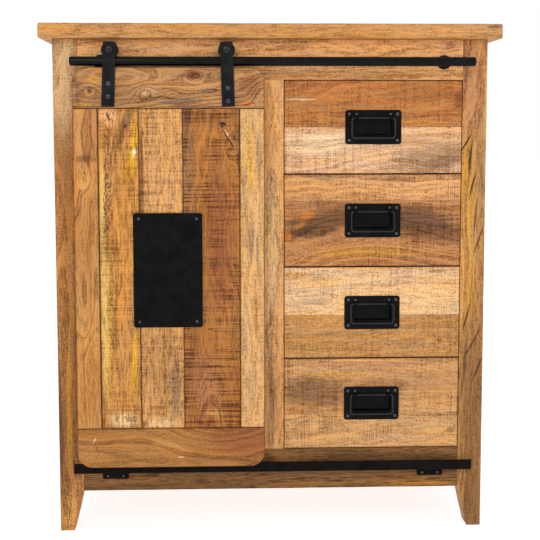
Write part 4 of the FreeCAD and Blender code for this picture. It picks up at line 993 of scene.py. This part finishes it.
# %% Drawer fronts
HOLLOW, HOLLOW_CORNER = (37.1 * MM, 17.1 * MM), 0.1 * MM
HOLLOW_DEPTH = 12.5 * MM
FRONT_EDGE, FRONT_CORNER = 1.2 * MM, 1.6 * MM
looks = {
    1: dict(tones=("ba763e", "b17643"), lower=("e4b894", "d6a67f"), joint=722, pith=(30, 60),
            ring=7, figure=0.45, saw=0.6, marks=[
        eye(20, 800, 108, 80, 45), stain(252, 783, 73, 16, UMBER, 0.25), stain(68, 793, 31, 7, UMBER, 0.35),
        stain(52, 770, 26, 1.6, PALE, 0.7), spot(106, 757, 5, 4, ORANGE, 0.8),
        stain(330, 769, 9, 16, RUST, 0.75), stain(226, 731, 70, 3, GOLD, 0.5), eye(213, 611, 148, 108, 55),
        stain(285, 668, 85, 30, GREY, 0.6, 14), stain(310, 664, 50, 14, UMBER, 0.5, 20),
        stain(250, 700, 60, 12, TAN, 0.5, 8), stain(90, 690, 70, 22, PALE, 0.35), nail(30, 756),
        nail(30, 685), nail(29, 673), nail(331, 702), nail(331, 771),
    ]),
    2: dict(tones=("d59e6b", "cc9663"), lower=("b47c4d", "b98151"), joint=592, pith=(-30, 50),
            slant=(0.03, 0.02), figure=0.7, saw=0.6, marks=[
        stain(91, 633, 26, 5, GREY, 0.7, -3), stain(219, 629, 42, 6, PLUM, 0.4),
        stain(95, 556, 85, 24, WALNUT, 0.8, 12), stain(52, 538, 45, 10, WALNUT, 0.7, 22),
        stain(200, 572, 120, 14, UMBER, 0.85), stain(272, 548, 82, 27, WALNUT, 0.8, -11),
        stain(255, 560, 60, 12, PLUM, 0.5, -8), crack(110, 566, 70, 1.6, DARK, 0.4, 12),
        crack(80, 550, 60, 1.4, DARK, 0.4, 16), crack(260, 568, 80, 1.4, DARK, 0.4, -6),
        crack(275, 550, 70, 1.6, DARK, 0.5, -10), crack(290, 532, 55, 1.4, DARK, 0.4, -15),
        eye(177, 415, 209, 143, 70), stain(64, 566, 14, 7, ORANGE, 0.85, 25),
        stain(29, 529, 7, 9, ORANGE, 0.85), stain(175, 501, 105, 9, GOLD, 0.55),
        stain(49, 548, 14, 5, AMBER, 0.5, 30), nail(273, 607), nail(328, 600), nail(232, 621),
        nail(30, 608), nail(30, 504),
    ]),
    3: dict(tones=("e3b98c", "deb183"), lower=("c2905e", "b98750"), joint=388, pith=(40, 60),
            slant=(0.03, 0.01), ring=6, figure=0.3, saw=0.45, marks=[
        stain(45, 461, 24, 7, ORANGE, 0.4), stain(295, 466, 17, 2.8, SLATE, 0.6),
        stain(77, 414, 31, 7, SLATE, 0.3), stain(72, 385, 47, 1.9, GOLD, 0.8), eye(104, 336, 19, 14, 8),
        eye(295, 342, 35, 21, 14), crack(302, 342, 7, 1.0, DARK, 0.8), stain(171, 350, 9, 3, GOLD, 0.6),
        stain(237, 342, 7, 4, GOLD, 0.6), nail(29, 371), nail(29, 348), nail(330, 360), nail(329, 429),
    ]),
    4: dict(tones=("c99766", "bd8b5e"), lower=("d1a573", "cc9b69"), joint=209, pith=(-40, 50),
            slant=(0.04, 0.02), figure=0.45, saw=0.7, marks=[
        stain(178, 299, 154, 6, ROSE, 0.5), stain(105, 281, 77, 1.9, YELLOW, 0.7, 3),
        stain(75, 250, 70, 32, WALNUT, 0.6), stain(200, 262, 60, 14, UMBER, 0.4),
        stain(42, 215, 21, 5, ORANGE, 0.6), stain(286, 205, 52, 1.2, RUST, 0.7),
        crack(94, 183, 12, 1.2, DARK, 0.7, 14), stain(323, 177, 9, 5, RUST, 0.55), eye(69, 262, 87, 35, 24),
        nail(331, 186), nail(29, 288), nail(29, 189),
    ]),
}


def drawer_front(number, look):
    """Rounded rectangles: from the hollow's floor to its mouth, over the face's edge, back to the rear."""
    name = f"drawer_{number}"
    middle, half = node_middle(f"{name}_front")
    material = wood(f"{name}_wood", grain="x", extent=node_box(f"{name}_front"), seed=60 + number, streak=0.4,
                    rough=0.8, rim=0.3, **look)
    layers = [(depth - half[1], *HOLLOW, HOLLOW_CORNER) for depth in (HOLLOW_DEPTH, 0.0)]
    for along, inset in through(-half[1], half[1], FRONT_EDGE):
        layers.append((along, half[0] - inset, half[2] - inset, FRONT_CORNER - inset))
    rings = [in_space("y", middle, rounded_rectangle(a, b, r, 4), along) for along, a, b, r in layers]
    piece = add_piece(f"{name}_front_oiled", name, material, *skin(rings))
    stands_for(piece, f"{name}_front")


for number, look in looks.items():
    drawer_front(number, look)
    print("front of drawer", number, "with", len(look["marks"]), "marks")

# %% Drawer boxes
box_wood = wood("drawer_box_wood", ("cda673", "c29a68"), "y", node_box("drawer_1_box_sides"), 71, ring=7,
                figure=0.4)
bottom_wood = wood("drawer_bottom_wood", ("d3ae7c", "c8a06e"), "x", node_box("drawer_1_bottom"), 72, ring=8,
                   figure=0.4)
for number in looks:
    name = f"drawer_{number}"
    low, high = node_box(f"{name}_box_sides")
    thickness = high[0] - node_box(f"{name}_box_back")[1][0]
    for label, x in (("left", low[0]), ("right", high[0] - thickness)):
        corners = (x, low[1], low[2]), (x + thickness, high[1], high[2])
        piece = board(f"{name}_{label}_side_oiled", name, box_wood, *corners, "y", 0.8 * MM, seed=number)
        if label == "left":
            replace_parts(piece, f"{name}_box_sides")
    for label, node, edge in (("back", f"{name}_box_back", 0.8 * MM), ("bottom", f"{name}_bottom", 0.4 * MM)):
        piece = board(f"{name}_{label}_oiled", name, bottom_wood, *node_box(node), "x", edge, seed=number)
        stands_for(piece, node)
print("box sides", rounded(high - low), "m,", rounded([thickness]), "m thick")

# %% [markdown]
# ## Pulls
# A pull is a pressed plate whose middle is drawn back into a pan for the fingers, with a round-bar bail
# that hangs in front of the pan. Two clips, folded round the bail's upper bar and riveted to the plate, let
# it swing. The plate is one closed sheet, because a pressed plate is as thick in its pan as at its edge.

# %% Pulls
PULL_METAL, PULL_CORNER, PULL_EDGE, LIP = 1.6 * MM, 5 * MM, 0.7 * MM, 1.2 * MM
PAN, PAN_DEPTH, PAN_CORNER, PAN_EDGE = (34 * MM, 14 * MM), 11 * MM, 4.5 * MM, 1.2 * MM
PAN_SLOPE = math.tan(math.radians(6))
BAR, BEND = 2 * MM, 5 * MM
CLIP_REACH, CLIP_HALF, CLIP_METAL, CLIP_RISE = 30 * MM, 4 * MM, 1.0 * MM, 11 * MM
RIVET_RISE = 7 * MM
SCREW_REACH, SCREW_RISE = 42.5 * MM, 23 * MM


def pull_plate(name, body, centre, half):
    """One closed sheet: from the back of the pan along its outside to the plate's back, round the plate's
    edge to its face, over a rolled lip and down the inside of the pan to its floor. centre is on the drawer's
    face."""
    outer = np.array(PAN) + PULL_METAL
    shell = PAN_DEPTH * PAN_SLOPE
    layers = [(PAN_DEPTH, *(outer - shell - LIP), 3 * MM), (PAN_DEPTH - 0.3 * LIP, *(outer - shell), 4 * MM)]
    layers += [(0.0, *outer, PAN_CORNER), (0.0, *half, PULL_CORNER)]
    for inset, rise in reversed(quarter(PULL_EDGE)):
        layers.append((rise - PULL_METAL, half[0] - inset, half[1] - inset, PULL_CORNER - inset))
    for over, rise in quarter(LIP, 5):
        layers.append((rise - PULL_METAL, PAN[0] + over, PAN[1] + over, PAN_CORNER + over))
    floor = PAN_DEPTH - PULL_METAL
    for inset, rise in reversed(quarter(PAN_EDGE)):
        wall = floor * PAN_SLOPE + inset
        layers.append((floor - rise, PAN[0] - wall, PAN[1] - wall, 4 * MM - inset))
    rings = [in_space("y", centre, rounded_rectangle(a, b, r, 7), along) for along, a, b, r in layers]
    return add_piece(f"{name}_plate_black", body, pull_black, *skin(rings))


def bail(name, body, centre, half):
    """A round bar along a rounded rectangle: path(s) + r (n cos t + y sin t), n being the path's normal."""
    path = rounded_rectangle(half[0] - BAR, half[1] - BAR, BEND, 8)
    normal = (rounded_rectangle(half[0], half[1], BEND + BAR, 8) - path) / BAR
    circle = rays(all_round(16)) * BAR
    rings = [in_space("y", centre, path + normal * out, along) for out, along in circle]
    return add_piece(f"{name}_bail_black", body, bail_black, *skin(rings, "joined"))


def clip(name, body, x, face_y, axis_y, axis_z):
    """A strip of metal: down the plate as a tab, then most of the way round the bar at a constant radius."""
    radius = face_y - axis_y - CLIP_METAL / 2
    curl = radius * rays(-np.linspace(0, math.radians(285), 22))
    tab = np.stack([np.full(4, radius), np.linspace(CLIP_RISE, 1 * MM, 4)], 1)
    line = np.concatenate([tab, curl])
    slope = np.gradient(line, axis=0)
    normal = np.stack([slope[:, 1], -slope[:, 0]], 1) / np.linalg.norm(slope, axis=1, keepdims=True)
    rings = []
    for along, share in ((-1.0, 0.38), (-0.94, 0.5), (0.94, 0.5), (1.0, 0.38)):
        reach = normal * (CLIP_METAL * share)
        loop = np.concatenate([line + reach, (line - reach)[::-1]])
        rings.append(in_space("x", (x, axis_y, axis_z), loop, CLIP_HALF * along))
    return add_piece(name, body, pull_black, *skin(rings))


def pull(number):
    """Plate, bail, two clips with their rivets, and four screws."""
    name = f"drawer_{number}"
    centre, half = node_middle(f"{name}_pull_plate")
    centre[1] = CASE_FRONT
    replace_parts(pull_plate(name, name, centre, (half[0], half[2])), f"{name}_pull_plate")
    middle, half = node_middle(f"{name}_bail")
    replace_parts(bail(name, f"bail_{number}", middle, (half[0], half[2])), f"{name}_bail")
    face = CASE_FRONT - PULL_METAL
    axis_z = middle[2] + half[2] - BAR
    for label, side in (("left", -1), ("right", 1)):
        x = centre[0] + side * CLIP_REACH
        made = clip(f"{name}_{label}_clip", name, x, face, middle[1], axis_z)
        if side < 0:
            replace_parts(made, f"{name}_pull_fixings")
        rivet_face, rivet_z = face - CLIP_METAL, axis_z + RIVET_RISE
        screw_head(f"{name}_{label}_rivet", name, x, rivet_face, rivet_z, 4.6 * MM, 1.2 * MM, recess=0.05)
        x = centre[0] + side * SCREW_REACH
        for rank, rise in (("lower", -SCREW_RISE), ("upper", SCREW_RISE)):
            screw_head(f"{name}_{rank}_{label}_screw", name, x, face, centre[2] + rise, 6 * MM, 1.6 * MM)


for number in looks:
    pull(number)

# %% [markdown]
# ## Floor and light
# The piece stands on a plain white floor in soft light from all round, with a large light in front and
# above. A photograph of a studio could light it as well, but an even white world needs no picture.

# %% Floor
FLOOR_HALF = 30
corners = [(x * FLOOR_HALF, y * FLOOR_HALF, 0) for x, y in ((-1, -1), (1, -1), (1, 1), (-1, 1))]
floor_mesh = bpy.data.meshes.new("floor")
floor_mesh.from_pydata(corners, [], [(0, 1, 2, 3)])
floor = bpy.data.objects.new("floor", floor_mesh)
bpy.context.scene.collection.objects.link(floor)
floor_material, _, shader = new_material("floor_white")
shader.inputs["Base Color"].default_value = (0.40, 0.43, 0.46, 1)
shader.inputs["Roughness"].default_value = 0.9
shader.inputs["Emission Color"].default_value = (1, 1, 1, 1)
shader.inputs["Emission Strength"].default_value = 0.8
floor_mesh.materials.append(floor_material)
print("floor", 2 * FLOOR_HALF, "m wide")

# %% Light
scene = bpy.context.scene
scene.view_settings.view_transform = "Standard"
world = bpy.data.worlds.new("studio")
scene.world = world
world.use_nodes = True
tree = world.node_tree
studio = tree.nodes["Background"]
studio.inputs["Color"].default_value = (1, 1, 1, 1)
studio.inputs["Strength"].default_value = 0.6
backdrop = tree.nodes.new("ShaderNodeBackground")
backdrop.inputs["Color"].default_value = (1, 1, 1, 1)
path = tree.nodes.new("ShaderNodeLightPath")
seen = path.outputs["Is Camera Ray"]
for ray in ("Is Transmission Ray", "Is Glossy Ray"):
    seen = maths(tree, "MAXIMUM", seen, path.outputs[ray])
blend = add_node(tree, "MixShader", enumerate((seen, studio.outputs[0], backdrop.outputs[0])))
give(tree, tree.nodes["World Output"].inputs["Surface"], blend)


def softbox(name, place, size, power):
    """A rectangular area light that faces the middle of the piece."""
    data = bpy.data.lights.new(name, "AREA")
    data.shape = "RECTANGLE"
    data.size, data.size_y = size
    data.energy = power
    lamp = bpy.data.objects.new(name, data)
    scene.collection.objects.link(lamp)
    lamp.location = place
    lamp.rotation_mode = "QUATERNION"
    lamp.rotation_quaternion = (Vector((0, 0, 0.5)) - Vector(place)).to_track_quat("-Z", "Y")


softbox("key_light", (-1.2, -3.4, 2.3), (1.6, 1.2), 36)
softbox("fill_light", (1.8, -3.0, 1.2), (1.4, 1.4), 10)
print("lights:", *[light.name for light in bpy.data.lights])
